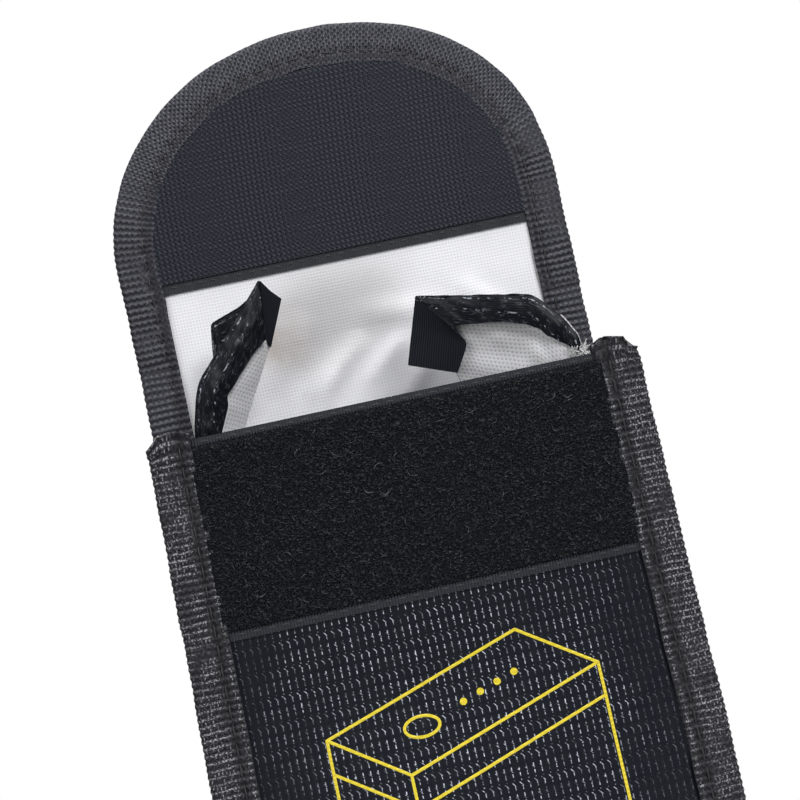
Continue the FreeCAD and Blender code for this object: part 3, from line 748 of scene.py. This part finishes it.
def edging_pieces():
    """The three lengths of binding, and the thread along each."""
    inside_pocket, inside_flap = (0, MOUTH / 2), (0, FLAP_SPRING_Z - 10)
    face = EDGING_HALF + 0.02
    plans = (
        ("front_edging", pocket_edge(MOUTH), inside_pocket, front_place,
         ["front_binding"], ["front_binding_thread"], GLINT_PAINTED_BINDING, 0.4, 11, (RIGHT_END, LEFT_END)),
        ("back_edging", pocket_edge(SPLIT_Z), inside_pocket, back_place,
         ["back_binding", "bridge_binding"], ["back_binding_thread"], BINDING, 0.15, 21, ()),
        ("flap_edging", flap_edge(SPLIT_Z), inside_flap, back_place,
         ["tongue_binding"], ["tongue_binding_thread"], FLAP_BINDING, 0.15, 31, ()),
    )
    for name, edge, inward, place, nodes, thread_nodes, material, pinch, seed, ends in plans:
        piece = Piece()
        add_edging(piece, edge, inward, place, pinch, seed, ends)
        piece.build(name, material, "binding_tape", *nodes)
        thread = Piece()
        for depth in (face, -face):
            add_stitches(thread, edge, inward, place, STITCH_INSET, depth, STITCH_PITCH, STITCH_LENGTH)
        thread.build(name + "_thread", THREAD, "thread", *thread_nodes)


# Hook and loop tape

def add_selvage(piece, low, high, place, surface, rib_pitch, columns, rows):
    """Ribbed edge strip of a closure tape, at a signed distance from the middle of its panel."""
    x, z = np.meshgrid(np.linspace(-TAPE_HALF, TAPE_HALF, columns), np.linspace(low, high, rows))
    depth = surface + math.copysign(SELVAGE_RIB, surface) * np.cos(2 * math.pi * x / rib_pitch)
    piece.shell(place(x, z, depth), -SELVAGE_THICK, 0.0, np.stack([x, z], -1), FORWARD)


def add_tape_stitches(piece, height, place, depth):
    edge = [(-SEAM_X, height), (SEAM_X, height)]
    add_stitches(piece, edge, (0, 0), place, 0, depth, TAPE_STITCH_PITCH, TAPE_STITCH_LENGTH)


def loop_pieces():
    """Loop tape: felted ground, a ribbed selvage above and below, and thousands of curled fibres."""
    low, high = LOOP_LOW_Z, MOUTH
    upper, lower = 1.4, 1.6
    ground = PANEL_CLOTH / 2

    def half_width(z):
        return np.full(np.shape(z), TAPE_HALF)

    def fuzz_depth(x, z):
        fade = ease((z - low - lower) / 0.6) * ease((high - upper - z) / 0.6)
        lumps = 0.14 * lattice_noise(x, z, 1.7, 5) + 0.1 * lattice_noise(x, z, 0.8, 6)
        return ground + 0.3 + fade * (0.42 + lumps)

    grid, uv = cloth_grid(half_width, low + lower - 0.3, high - upper + 0.3, front_place, fuzz_depth,
                          LOOP_STEP, int(2 * SEAM_X / LOOP_STEP))
    Piece().shell(grid, -0.3, 0.0, uv, FORWARD).build("loop_tape", PILE, "loop_tape", "loop_strip")

    piece = Piece()
    for bottom, top in ((low, low + lower), (high - upper, high - 0.1)):
        add_selvage(piece, bottom, top, front_place, ground + 0.34, 0.55, 1100, 5)
    piece.build("loop_selvage", LOOP_SELVAGE, "loop_tape")

    random = np.random.default_rng(17)
    count, points = LOOP_COUNT, 4
    x = random.uniform(-SEAM_X, SEAM_X, count)
    z = random.uniform(low + lower + 0.1, high - upper - 0.1, count)
    radius = random.uniform(0.12, 0.3, count)[:, None]
    turn = random.uniform(2.4, 4.6, count)[:, None]
    start = random.uniform(0, 2 * math.pi, count)[:, None]
    tilt = random.uniform(-0.9, 0.9, count)[:, None]
    angle = start + turn * np.linspace(0, 1, points)
    px = x[:, None] + radius * np.cos(angle)
    pz = z[:, None] + radius * np.sin(angle) * np.cos(tilt)
    lift = fuzz_depth(px, pz) + 0.12 + 0.5 * radius * (1 + np.sin(angle) * np.sin(tilt))
    Piece().tubes(front_place(px, pz, lift), LOOP_RADIUS, 3).build("loop_fibres", LOOPS, "loop_tape")

    count, t = STRAY_COUNT, np.linspace(0, 1, 9)
    x = random.uniform(-SEAM_X + 2, SEAM_X - 2, count)[:, None]
    z = random.uniform(low + 4, high - 4, count)[:, None]
    heading = random.uniform(0, 2 * math.pi, count)[:, None]
    bend = random.uniform(-2.2, 2.2, count)[:, None]
    reach = random.uniform(0.8, 2.0, count)[:, None]
    px = np.clip(x + reach * t * np.cos(heading + bend * t), -SEAM_X, SEAM_X)
    pz = z + reach * t * np.sin(heading + bend * t)
    lift = fuzz_depth(px, pz) + 0.3 + 0.5 * np.sin(math.pi * t)
    piece = Piece().tubes(front_place(px, pz, lift), STRAY_RADIUS, 3)
    piece.build("loop_stray_fibres", STRAYS, "loop_tape")

    piece = Piece()
    for height in (high - 0.8, low + 1.0):
        add_tape_stitches(piece, height, front_place, ground + 0.24)
    piece.build("loop_thread", THREAD, "thread", "loop_strip_thread")


def hook_pieces():
    """Hook tape on the flap's lining: woven ground, a selvage, and rows of tiny hooks."""
    low, high = HOOK_LOW_Z, FLAP_TIP_Z + FLAP_TIP_PROUD - TAPE_WIDTH - 0.2
    selvage = 2.0
    ground = -PANEL_CLOTH / 2
    surface = ground - 0.3

    def half_width(z):
        return flap_half(z, TAPE_WIDTH - 0.7)

    grid, uv = cloth_grid(half_width, low + selvage, high, back_place, lambda x, z: surface, HOOK_STEP,
                          int(2 * SEAM_X / HOOK_STEP))
    Piece().shell(grid, 0.0, 0.3, uv, FORWARD).build("hook_tape", HOOK_GROUND, "hook_tape", "hook_strip")

    piece = Piece()
    add_selvage(piece, low, low + selvage, back_place, ground - 0.35, 0.6, 900, 6)
    piece.build("hook_selvage", HOOK_SELVAGE, "hook_tape")

    columns = np.arange(-SEAM_X + 0.6, SEAM_X, HOOK_COLUMN_PITCH)
    rows = np.arange(low + selvage + 0.4, high - 0.4, HOOK_ROW_PITCH)
    cx, cz = (a.ravel() for a in np.meshgrid(columns, rows))
    keep = np.abs(cx) < half_width(cz) - 0.6
    cx, cz = cx[keep], cz[keep]
    t = np.linspace(0, 1, len(HOOK_RADII))
    lean = np.where((np.round(cz / HOOK_ROW_PITCH) % 2) == 0, 1.0, -1.0)[:, None]
    turn = np.random.default_rng(19).normal(0, 0.35, (len(cx), 1))
    px = cx[:, None] + (0.2 * lean + 0.4 * turn) * (t - 0.5)
    pz = cz[:, None] + 0.52 * (t - 0.5) + 0.3 * turn * lean
    rise = 0.35 * np.sin(math.pi * np.clip(t * 1.15, 0, 1)) + 0.03
    piece = Piece().tubes(back_place(px, pz, surface - rise), HOOK_RADII)
    piece.build("hook_fibres", HOOKS, "hook_tape")

    piece = Piece()
    add_tape_stitches(piece, low + 1.2, back_place, ground - 0.24)
    piece.build("hook_thread", THREAD, "thread", "hook_strip_thread")


# Pleated gusset

def pleat_shares():
    """Shares across a pleat: -1 at the front seam, 0 at the middle crease, 1 at the back seam."""
    return np.concatenate([np.linspace(-1, -0.12, 14), np.linspace(-0.09, 0.09, 7), np.linspace(0.12, 1, 14)])


def pleat_depths(x, z):
    """Y of the front and of the back seam beside the swollen panels."""
    return FRONT_SEAM_Y - FRONT_BELLY * belly(x, z), BACK_SEAM_Y + BACK_BELLY * belly(x, z)


def side_pleat_grid(side):
    """Middle of the cloth of one side pleat: front seam, crease, back seam, at every height."""
    t = pleat_shares()
    rows = np.linspace(0, 1, int(MOUTH / 1.6))
    low = SEAM_Z + (1 - np.abs(t)) * PLEAT_WIDTH + 0.3
    z = low + (MOUTH - low) * rows[:, None]
    t = np.broadcast_to(t, z.shape)
    front, rear = pleat_depths(SEAM_X, z)
    half_depth = (rear - front) / 2
    seam = (SEAM_X + 0.4) * flare(z)
    crease_x = seam - np.sqrt(PLEAT_WIDTH ** 2 - half_depth ** 2)
    near_mouth = ease((z - MOUTH + 45) / 45)
    crease_x = crease_x + near_mouth * (RIGHT_SPREAD if side > 0 else LEFT_SPREAD)
    share = (np.hypot(t, CREASE_ROUND) - CREASE_ROUND) / (math.hypot(1, CREASE_ROUND) - CREASE_ROUND)
    swell = np.sin(math.pi * np.abs(t)) * (0.5 + 0.9 * lattice_noise(z, t * 9, 24, 40 + side))
    x = crease_x + (seam - crease_x) * share - swell * 0.4
    y = (front + rear) / 2 + t * half_depth - np.sign(t) * swell
    return np.stack([side * x, y, z], -1), np.stack([t * PLEAT_WIDTH, z], -1)


def bottom_pleat_grid():
    t = pleat_shares()
    reach = SEAM_X - (1 - np.abs(t)) * PLEAT_WIDTH - 0.3
    x = reach * np.linspace(-1, 1, 60)[:, None]
    t = np.broadcast_to(t, x.shape)
    front, rear = pleat_depths(x, SEAM_Z)
    half_depth = (rear - front) / 2
    crease_z = SEAM_Z + np.sqrt(PLEAT_WIDTH ** 2 - half_depth ** 2)
    z = crease_z - (crease_z - SEAM_Z) * np.abs(t)
    y = (front + rear) / 2 + t * half_depth
    return np.stack([x, y, z], -1), np.stack([x, t * PLEAT_WIDTH], -1)


def gusset_pieces():
    pleats = (
        ("right", side_pleat_grid(1), (1, 0, 0)),
        ("left", side_pleat_grid(-1), (-1, 0, 0)),
        ("bottom", bottom_pleat_grid(), (0, 0, -1)),
    )
    layers = (
        ("cloth", "panel", 0, OUTER_CLOTH, OUTER, "outer_cloth"),
        ("inside", "lining", -LINING_CLOTH, 0, LINING, "lining_cloth"),
    )
    for word, (grid, uv), toward in pleats:
        for layer, cad, near, far, material, slot in layers:
            piece = Piece().shell(grid, near, far, uv, toward)
            piece.build("gusset_%s_%s" % (word, layer), material, slot,
                        "gusset_%s_rear_%s" % (word, cad), "gusset_%s_front_%s" % (word, cad))


# Ears: the hemmed top of the gusset, standing out of the mouth. Their points are (x, height over
# the mouth, y).

def ear_place(points):
    return points[..., [0, 2, 1]] + [0, 0, MOUTH]


def loft(first, second, count, rows, bow):
    """Grid between two lines of points, with a bow out of its plane."""
    t = np.linspace(0, 1, count)
    lines = []
    for line in (first, second):
        line = resample(line, 0.05)[0]
        lines.append(np.stack([np.interp(t, np.linspace(0, 1, len(line)), line[:, i]) for i in range(3)], 1))
    s = np.linspace(0, 1, rows)[None, :, None]
    grid = ear_place(lines[0][:, None] * (1 - s) + lines[1][:, None] * s)
    grid[..., 1] -= bow * np.sin(math.pi * s[..., 0])
    return grid


def loft_uv(grid):
    """UV of a grid from its distances along and across."""
    along = np.cumsum(np.linalg.norm(np.diff(grid, axis=0, prepend=grid[:1]), axis=2), axis=0)
    across = np.cumsum(np.linalg.norm(np.diff(grid, axis=1, prepend=grid[:, :1]), axis=2), axis=1)
    return np.stack([along.mean(1, keepdims=True) + 0 * across, across], -1)


def crumple(grid, size, height, seed):
    """Push a grid about along Y, as creased ribbon is."""
    uv = loft_uv(grid)
    grid = grid.copy()
    grid[..., 1] += height * lattice_noise(uv[..., 0], uv[..., 1], size, seed)
    grid[..., 2] += 0.4 * height * lattice_noise(uv[..., 0], uv[..., 1], size, seed + 1)
    return grid


def hang(made, body):
    """Move a piece with a gusset body, on a mesh of its own."""
    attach(made, body)
    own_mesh(made)


EAR_SLOTS = {"inside": "lining_cloth", "cloth": "outer_cloth", "hem": "binding_tape", "fold": "binding_tape"}


def ear_layer(part, layer, lofts, half, material, wrinkle):
    """One layer of the front or rear part of an ear. wrinkle is the size, the height and the seed of
    its crumpling. The lining stands for the CAD's ear."""
    piece = Piece()
    for first, second, count, rows, bow in lofts:
        grid = crumple(loft(first, second, count, rows, bow), *wrinkle)
        piece.shell(grid, -half, half, loft_uv(grid), FORWARD if part.endswith("front") else BACKWARD)
    nodes = ["gusset_%s_ear" % part] if layer == "inside" else []
    hang(piece.build("ear_%s_%s" % (part, layer), material, EAR_SLOTS[layer], *nodes), "gusset_" + part)


def fray(name, middle, spread, count, reach, body, seed):
    """A tuft of broken white glass fibres."""
    random = np.random.default_rng(seed)
    root = np.array(middle) + random.uniform(-1, 1, (count, 3)) * spread
    heading = random.normal(0, 1, (count, 3)) + [0, 0.6, -0.4]
    heading /= np.linalg.norm(heading, axis=1, keepdims=True)
    curl = random.normal(0, 0.5, (count, 3))
    t = np.linspace(0, 1, 6)[None, :, None] * random.uniform(0.4, 1, (count, 1, 1)) * reach
    path = root[:, None] + heading[:, None] * t + curl[:, None] * t ** 2 / reach
    piece = Piece().tubes(ear_place(path), 0.045, 3)
    hang(piece.build(name, FRAY, "lining_cloth"), body)


def raw_edge(name, line, body):
    """Pale raw cloth edge that shows along the top of a hem."""
    path, along = resample(line, 0.5)
    waver = 0.12 * lattice_noise(along, along * 0, 2.0, 9)
    path = path + np.stack([waver, waver, 0 * waver], 1)
    piece = Piece().tubes(ear_place(path[None]), 0.16, 6)
    hang(piece.build(name, EAR_LINING, "lining_cloth"), body)


def rear_ear(word, top, foot, rows, drop, wrinkle, hem_seed):
    """Rear half of an ear: lining, outer cloth, and a hem folded over the top of both."""
    part = word + "_rear"
    ear_layer(part, "inside", [(top, np.array(foot) + [0, 0, 0.5], 50, rows, -0.5)], 0.2, LINING, wrinkle)
    ear_layer(part, "cloth", [(top, foot, 50, rows, -0.5)], 0.3, OUTER, wrinkle)
    near, far = top + [0, 0.3, -0.6], top + [0, 0.3, 1.0]
    ear_layer(part, "hem", [(near, top + [0, -5.5, -0.6], 60, 10, 0.0), (near, far, 60, 5, 0.0),
                            (far, top + [0, -drop, 1.0], 60, 14, 0.0)], 0.16, RIBBON, (2.4, 0.3, hem_seed))


def right_ear():
    """Right ear. Front half: white lining with a ribbon over its top and a corner folded down."""
    part, body, wrinkle = "right_front", "gusset_right_front", (3.4, 0.5, 61)
    top = rounded([(36.2, 0.6, -9.5), (36.0, 3.8, -9.3), (34.3, 7.1, -8.9), (31.0, 11.3, -7.7),
                   (29.4, 12.8, -7.2), (9.1, 17.3, -1.2)], 0.8)
    foot = [(36.0, -4.0, -9.6), (15.4, -4.0, -1.6)]
    far_foot = [(36.0, -4.0, -9.0), (17.0, -4.0, -1.0)]
    ribbon_low = rounded([(34.9, 0.4, -9.9), (34.2, 2.3, -9.6), (30.8, 4.8, -8.6), (29.8, 6.5, -8.4),
                          (27.2, 7.9, -7.8), (23.4, 9.3, -6.8), (14.1, 10.7, -4.4)], 0.8)
    ear_layer(part, "inside", [(top + [0, -0.5, 0], foot, 60, 26, 0.8)], 0.2, EAR_LINING, wrinkle)
    ear_layer(part, "cloth", [(top + [0, -0.5, 0.55], far_foot, 60, 26, 0.8)], 0.3, OUTER, wrinkle)
    near, far = top + [0, 0.25, -0.75], top + [0, 0.3, 1.15]
    ear_layer(part, "hem", [(near, ribbon_low + [0, 0, -0.55], 90, 22, 0.5), (near, far, 90, 5, 0.0),
                            (far, top + [0, -5, 1.25], 90, 10, 0.0)], 0.16, RIBBON, (2.2, 0.3, 63))
    fold_outer = rounded([(9.1, 17.3, -2.3), (7.6, 13.0, -2.2), (6.2, 9.0, -2.6), (4.9, 5.2, -3.4)], 1.0)
    fold_inner = rounded([(14.1, 10.8, -5.4), (16.3, 6.9, -5.2), (15.9, 5.8, -5.2), (13.5, 1.8, -4.9)], 0.6)
    ear_layer(part, "fold", [(fold_outer, fold_inner, 40, 24, 0.3)], 0.35, MATT_RIBBON, (7, 0.25, 65))
    fray("ear_right_fray", (35.6, 0.8, -10.2), (1.3, 0.8, 0.4), 420, 1.1, body, 81)
    fray("ear_right_tip_fray", (10.2, 16.6, -2.4), (0.7, 0.5, 0.2), 26, 0.7, body, 82)
    raw_edge("ear_right_raw_edge", top[: len(top) // 2] + [0.15, 0.5, -0.4], body)
    back_top = rounded([(9.6, 16.8, 0.4), (20, 14.6, 4.5), (30.0, 12.0, 8.0), (35.4, 0.6, 9.6)], 1.6)
    rear_ear("right", back_top, [(15.8, -4, 1.4), (36.6, -4, 9.7)], 22, 6.0, (6, 0.3, 67), 69)


def left_ear():
    """Left ear, turned nearly edge-on: a crumpled ribbon, a wedge of lining, and its fold behind."""
    part, wrinkle = "left_front", (5, 0.3, 71)
    outer = rounded([(-36.2, -2.5, -9.8), (-35.9, 1.4, -9.7), (-34.2, 8.2, -9.0), (-33.0, 10.4, -8.6),
                     (-24.6, 19.8, -5.0), (-19.1, 26.4, -2.4)], 1.2)
    inner = rounded([(-32.0, -2.5, -9.4), (-31.4, 0.3, -9.3), (-29.2, 4.6, -8.8), (-29.2, 6.4, -8.6),
                     (-23.4, 12.7, -5.6), (-20.0, 15.6, -3.8)], 1.0)
    wedge = rounded([(-28.4, -4.0, -3.4), (-27.4, 0.2, -3.2), (-19.0, 15.4, -1.4)], 2.0)
    far_outer, far_wedge = outer + [0.4, -0.6, 0.8], wedge + [-2.4, 0, 0.9]
    ear_layer(part, "inside", [(inner + [-1.0, 0.6, 0.5], wedge, 50, 18, 0.4)], 0.2, EAR_LINING, wrinkle)
    ear_layer(part, "cloth", [(far_outer, far_wedge, 50, 18, 0.2)], 0.3, OUTER, wrinkle)
    ear_layer(part, "hem", [(outer, inner, 90, 26, 1.5), (outer, outer + [0.3, 0, 1.6], 90, 5, 0.0)],
              0.2, RIBBON, (1.8, 0.35, 73))
    fold_outer = rounded([(-19.0, 26.4, -2.4), (-17.6, 24.4, -1.4), (-15.7, 22.4, -0.8)], 0.5)
    fold_inner = rounded([(-20.1, 15.8, -3.0), (-19.9, 14.8, -2.6), (-19.5, 13.9, -2.2)], 0.3)
    ear_layer(part, "fold", [(fold_outer, fold_inner, 16, 20, 0.2)], 0.3, MATT_RIBBON, (4, 0.2, 75))
    back_top = rounded([(-20.4, 24.0, -0.8), (-23.6, 22.2, 1.2), (-29.6, 20.4, 3.2), (-29.6, 15.0, 4.2),
                        (-31.5, 8.0, 6.5), (-36.6, 2.0, 9.4)], 0.6)
    rear_ear("left", back_top, [(-30.6, -4.0, -2.0), (-36.8, -4.0, 9.7)], 24, 5.5, (5, 0.3, 77), 79)


# Printed battery mark: a plain block seen from a corner

MARK_LINE, INK_THICK = 0.55, 0.06
MARK_FAR = (12.0, MOUTH - 46.0)
MARK_LONG, MARK_SHORT, MARK_DROP = np.array((-36.0, -12.0)), np.array((13.0, -9.0)), np.array((0.0, -30.0))
MARK_LID_SHARE = 0.2
BUTTON_RADII = (3.4, 2.1)
BUTTON_SHARES = (0.72, 0.5)
LIGHT_FIRST_SHARE, LIGHT_STEP, LIGHT_COUNT, LIGHT_RADIUS = 0.5, 0.09, 4, 0.65


def add_ink(piece, points, closed=False):
    """A printed line of even width along points, lying on the front cloth."""
    points = resample(rounded(points, 0.01) if closed else points, 0.5)[0]
    tangent = np.gradient(points, axis=0)
    if closed:
        tangent[0] = tangent[-1] = points[1] - points[-2]
    tangent /= np.linalg.norm(tangent, axis=1, keepdims=True)
    across = np.linspace(-MARK_LINE / 2, MARK_LINE / 2, 4)
    x = points[:, :1] - tangent[:, 1:] * across
    z = points[:, 1:] + tangent[:, :1] * across
    grid = front_place(x, z, PANEL_CLOTH / 2 + 0.02 + 0.05 * np.cos(across / MARK_LINE * math.pi))
    piece.shell(grid, -INK_THICK, 0.0, np.stack([x, z], -1), FORWARD)


def add_dot(piece, centre, radius):
    turn = np.linspace(0, 2 * math.pi, 17)
    ring = np.array([0.05, 0.6, 1.0])
    x = centre[0] + radius * ring * np.cos(turn)[:, None]
    z = centre[1] + radius * ring * np.sin(turn)[:, None]
    piece.shell(front_place(x, z, PANEL_CLOTH / 2 + 0.08), -INK_THICK, 0.0, np.stack([x, z], -1), FORWARD)


def battery_mark():
    far = np.array(MARK_FAR)
    left, right, near = far + MARK_LONG, far + MARK_SHORT, far + MARK_LONG + MARK_SHORT
    piece = Piece()
    lines = [(far, left), (far, right), (left, near), (right, near)]
    lines += [(corner, corner + MARK_DROP) for corner in (left, near, right)]
    for share in (MARK_LID_SHARE, 1):
        lines += [(left + MARK_DROP * share, near + MARK_DROP * share),
                  (near + MARK_DROP * share, right + MARK_DROP * share)]
    for start, end in lines:
        add_ink(piece, [start, end])
    for corner in sorted({tuple(end) for line in lines for end in line}):
        add_dot(piece, corner, MARK_LINE / 2)
    button = far + MARK_LONG * BUTTON_SHARES[0] + MARK_SHORT * BUTTON_SHARES[1]
    turn = np.linspace(0, 2 * math.pi, 49)
    radii = np.array(BUTTON_RADII) - MARK_LINE / 2
    add_ink(piece, button + np.stack([radii[0] * np.cos(turn), radii[1] * np.sin(turn)], 1), closed=True)
    for share in LIGHT_FIRST_SHARE - LIGHT_STEP * np.arange(LIGHT_COUNT):
        add_dot(piece, far + MARK_LONG * share + MARK_SHORT * BUTTON_SHARES[1], LIGHT_RADIUS)
    piece.build("battery_drawing", PRINT, "print", "battery_mark")


# Stage

def area_light(name, place, target, size, power):
    data = bpy.data.lights.new(name, "AREA")
    data.shape = "RECTANGLE"
    data.size, data.size_y = size
    data.energy = power
    light = bpy.data.objects.new(name, data)
    bpy.context.scene.collection.objects.link(light)
    light.location = place
    light.rotation_euler = (Vector(target) - Vector(place)).to_track_quat("-Z", "Y").to_euler()


def studio():
    """White backdrop, pale floor and soft boxes."""
    world = bpy.data.worlds.new("studio")
    bpy.context.scene.world = world
    world.use_nodes = True
    nodes, links = world.node_tree.nodes, world.node_tree.links
    background = nodes["Background"]
    path = nodes.new("ShaderNodeLightPath")
    strength = nodes.new("ShaderNodeMapRange")
    links.new(path.outputs["Is Camera Ray"], strength.inputs["Value"])
    strength.inputs["To Min"].default_value = 0.14
    strength.inputs["To Max"].default_value = 1.0
    background.inputs["Color"].default_value = (1, 1, 1, 1)
    links.new(strength.outputs[0], background.inputs["Strength"])
    bpy.context.scene.view_settings.view_transform = "Standard"
    mesh = bpy.data.meshes.new("floor")
    reach, sides = 0.19, 64
    turn = np.arange(sides) * 2 * math.pi / sides
    mesh.from_pydata([(reach * math.cos(a), reach * math.sin(a), 0) for a in turn], [], [list(range(sides))])
    floor = bpy.data.objects.new("floor", mesh)
    material = bpy.data.materials.new("pale floor")
    material.use_nodes = True
    shader = material.node_tree.nodes["Principled BSDF"]
    shader.inputs["Base Color"].default_value = (0.86, 0.86, 0.86, 1)
    shader.inputs["Roughness"].default_value = 0.8
    mesh.materials.append(material)
    bpy.context.scene.collection.objects.link(floor)
    middle = (0, 0, 0.13)
    area_light("key", (0.3, -0.42, 0.62), middle, (0.3, 0.3), 5.2)
    area_light("fill", (-0.6, -0.5, 0.35), middle, (0.5, 0.6), 2.4)
    area_light("top", (-0.1, -0.05, 0.8), middle, (0.5, 0.4), 3.0)
    area_light("rim", (0.1, 0.7, 0.5), middle, (0.8, 0.5), 2.0)


def camera():
    """Close view of the mouth and flap from a little to the left, rolled as the pouch leans."""
    azimuth, elevation, roll = math.radians(-4.0), math.radians(-1.0), math.radians(-12.2)
    target = Vector((0.0014, -0.012, 0.149))
    distance = 0.285
    back = Vector((math.sin(azimuth) * math.cos(elevation), -math.cos(azimuth) * math.cos(elevation),
                   math.sin(elevation)))
    data = bpy.data.cameras.new("camera")
    data.lens = 70.8
    data.sensor_width = 36
    data.clip_start = 0.01
    view = bpy.data.objects.new("camera", data)
    bpy.context.scene.collection.objects.link(view)
    view.location = target + back * distance
    view.rotation_mode = "QUATERNION"
    view.rotation_quaternion = (-back).to_track_quat("-Z", "Y") @ Quaternion((0, 0, 1), roll)
    bpy.context.scene.camera = view


# Assembly

camera()
studio()
panel_pieces()
edging_pieces()
loop_pieces()
hook_pieces()
gusset_pieces()
battery_mark()

for name in ("front_cloth", "front_inside", "front_edging", "front_edging_thread", "loop_tape",
             "loop_selvage", "loop_fibres", "loop_stray_fibres", "loop_thread", "battery_drawing"):
    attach(pieces[name], "front")
for name in ("hook_tape", "hook_selvage", "hook_fibres", "hook_thread"):
    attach(pieces[name], "flap_tongue")

BEND = 3.0                    # cloth on each side of a fold line
for word, lower, upper, fold in (
        ("back", "back", "flap_bridge", FOLD_Z),
        ("flap", "flap_bridge", "flap_tongue", TONGUE_FOLD_Z)):
    for layer in ("cloth", "inside", "edging", "edging_thread"):
        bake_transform(pieces[word + "_" + layer], lower, upper, start=(0, BACK_Y * METRES, (fold - BEND) * METRES),
                 end=(0, BACK_Y * METRES, (fold + BEND) * METRES))
for word in ("right", "left", "bottom"):
    for layer in ("cloth", "inside"):
        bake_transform(pieces["gusset_%s_%s" % (word, layer)], "gusset_%s_rear" % word, "gusset_%s_front" % word,
                 start=(0, (CREASE_Y + 1.5) * METRES, 0), end=(0, (CREASE_Y - 1.5) * METRES, 0))

right_ear()
left_ear()
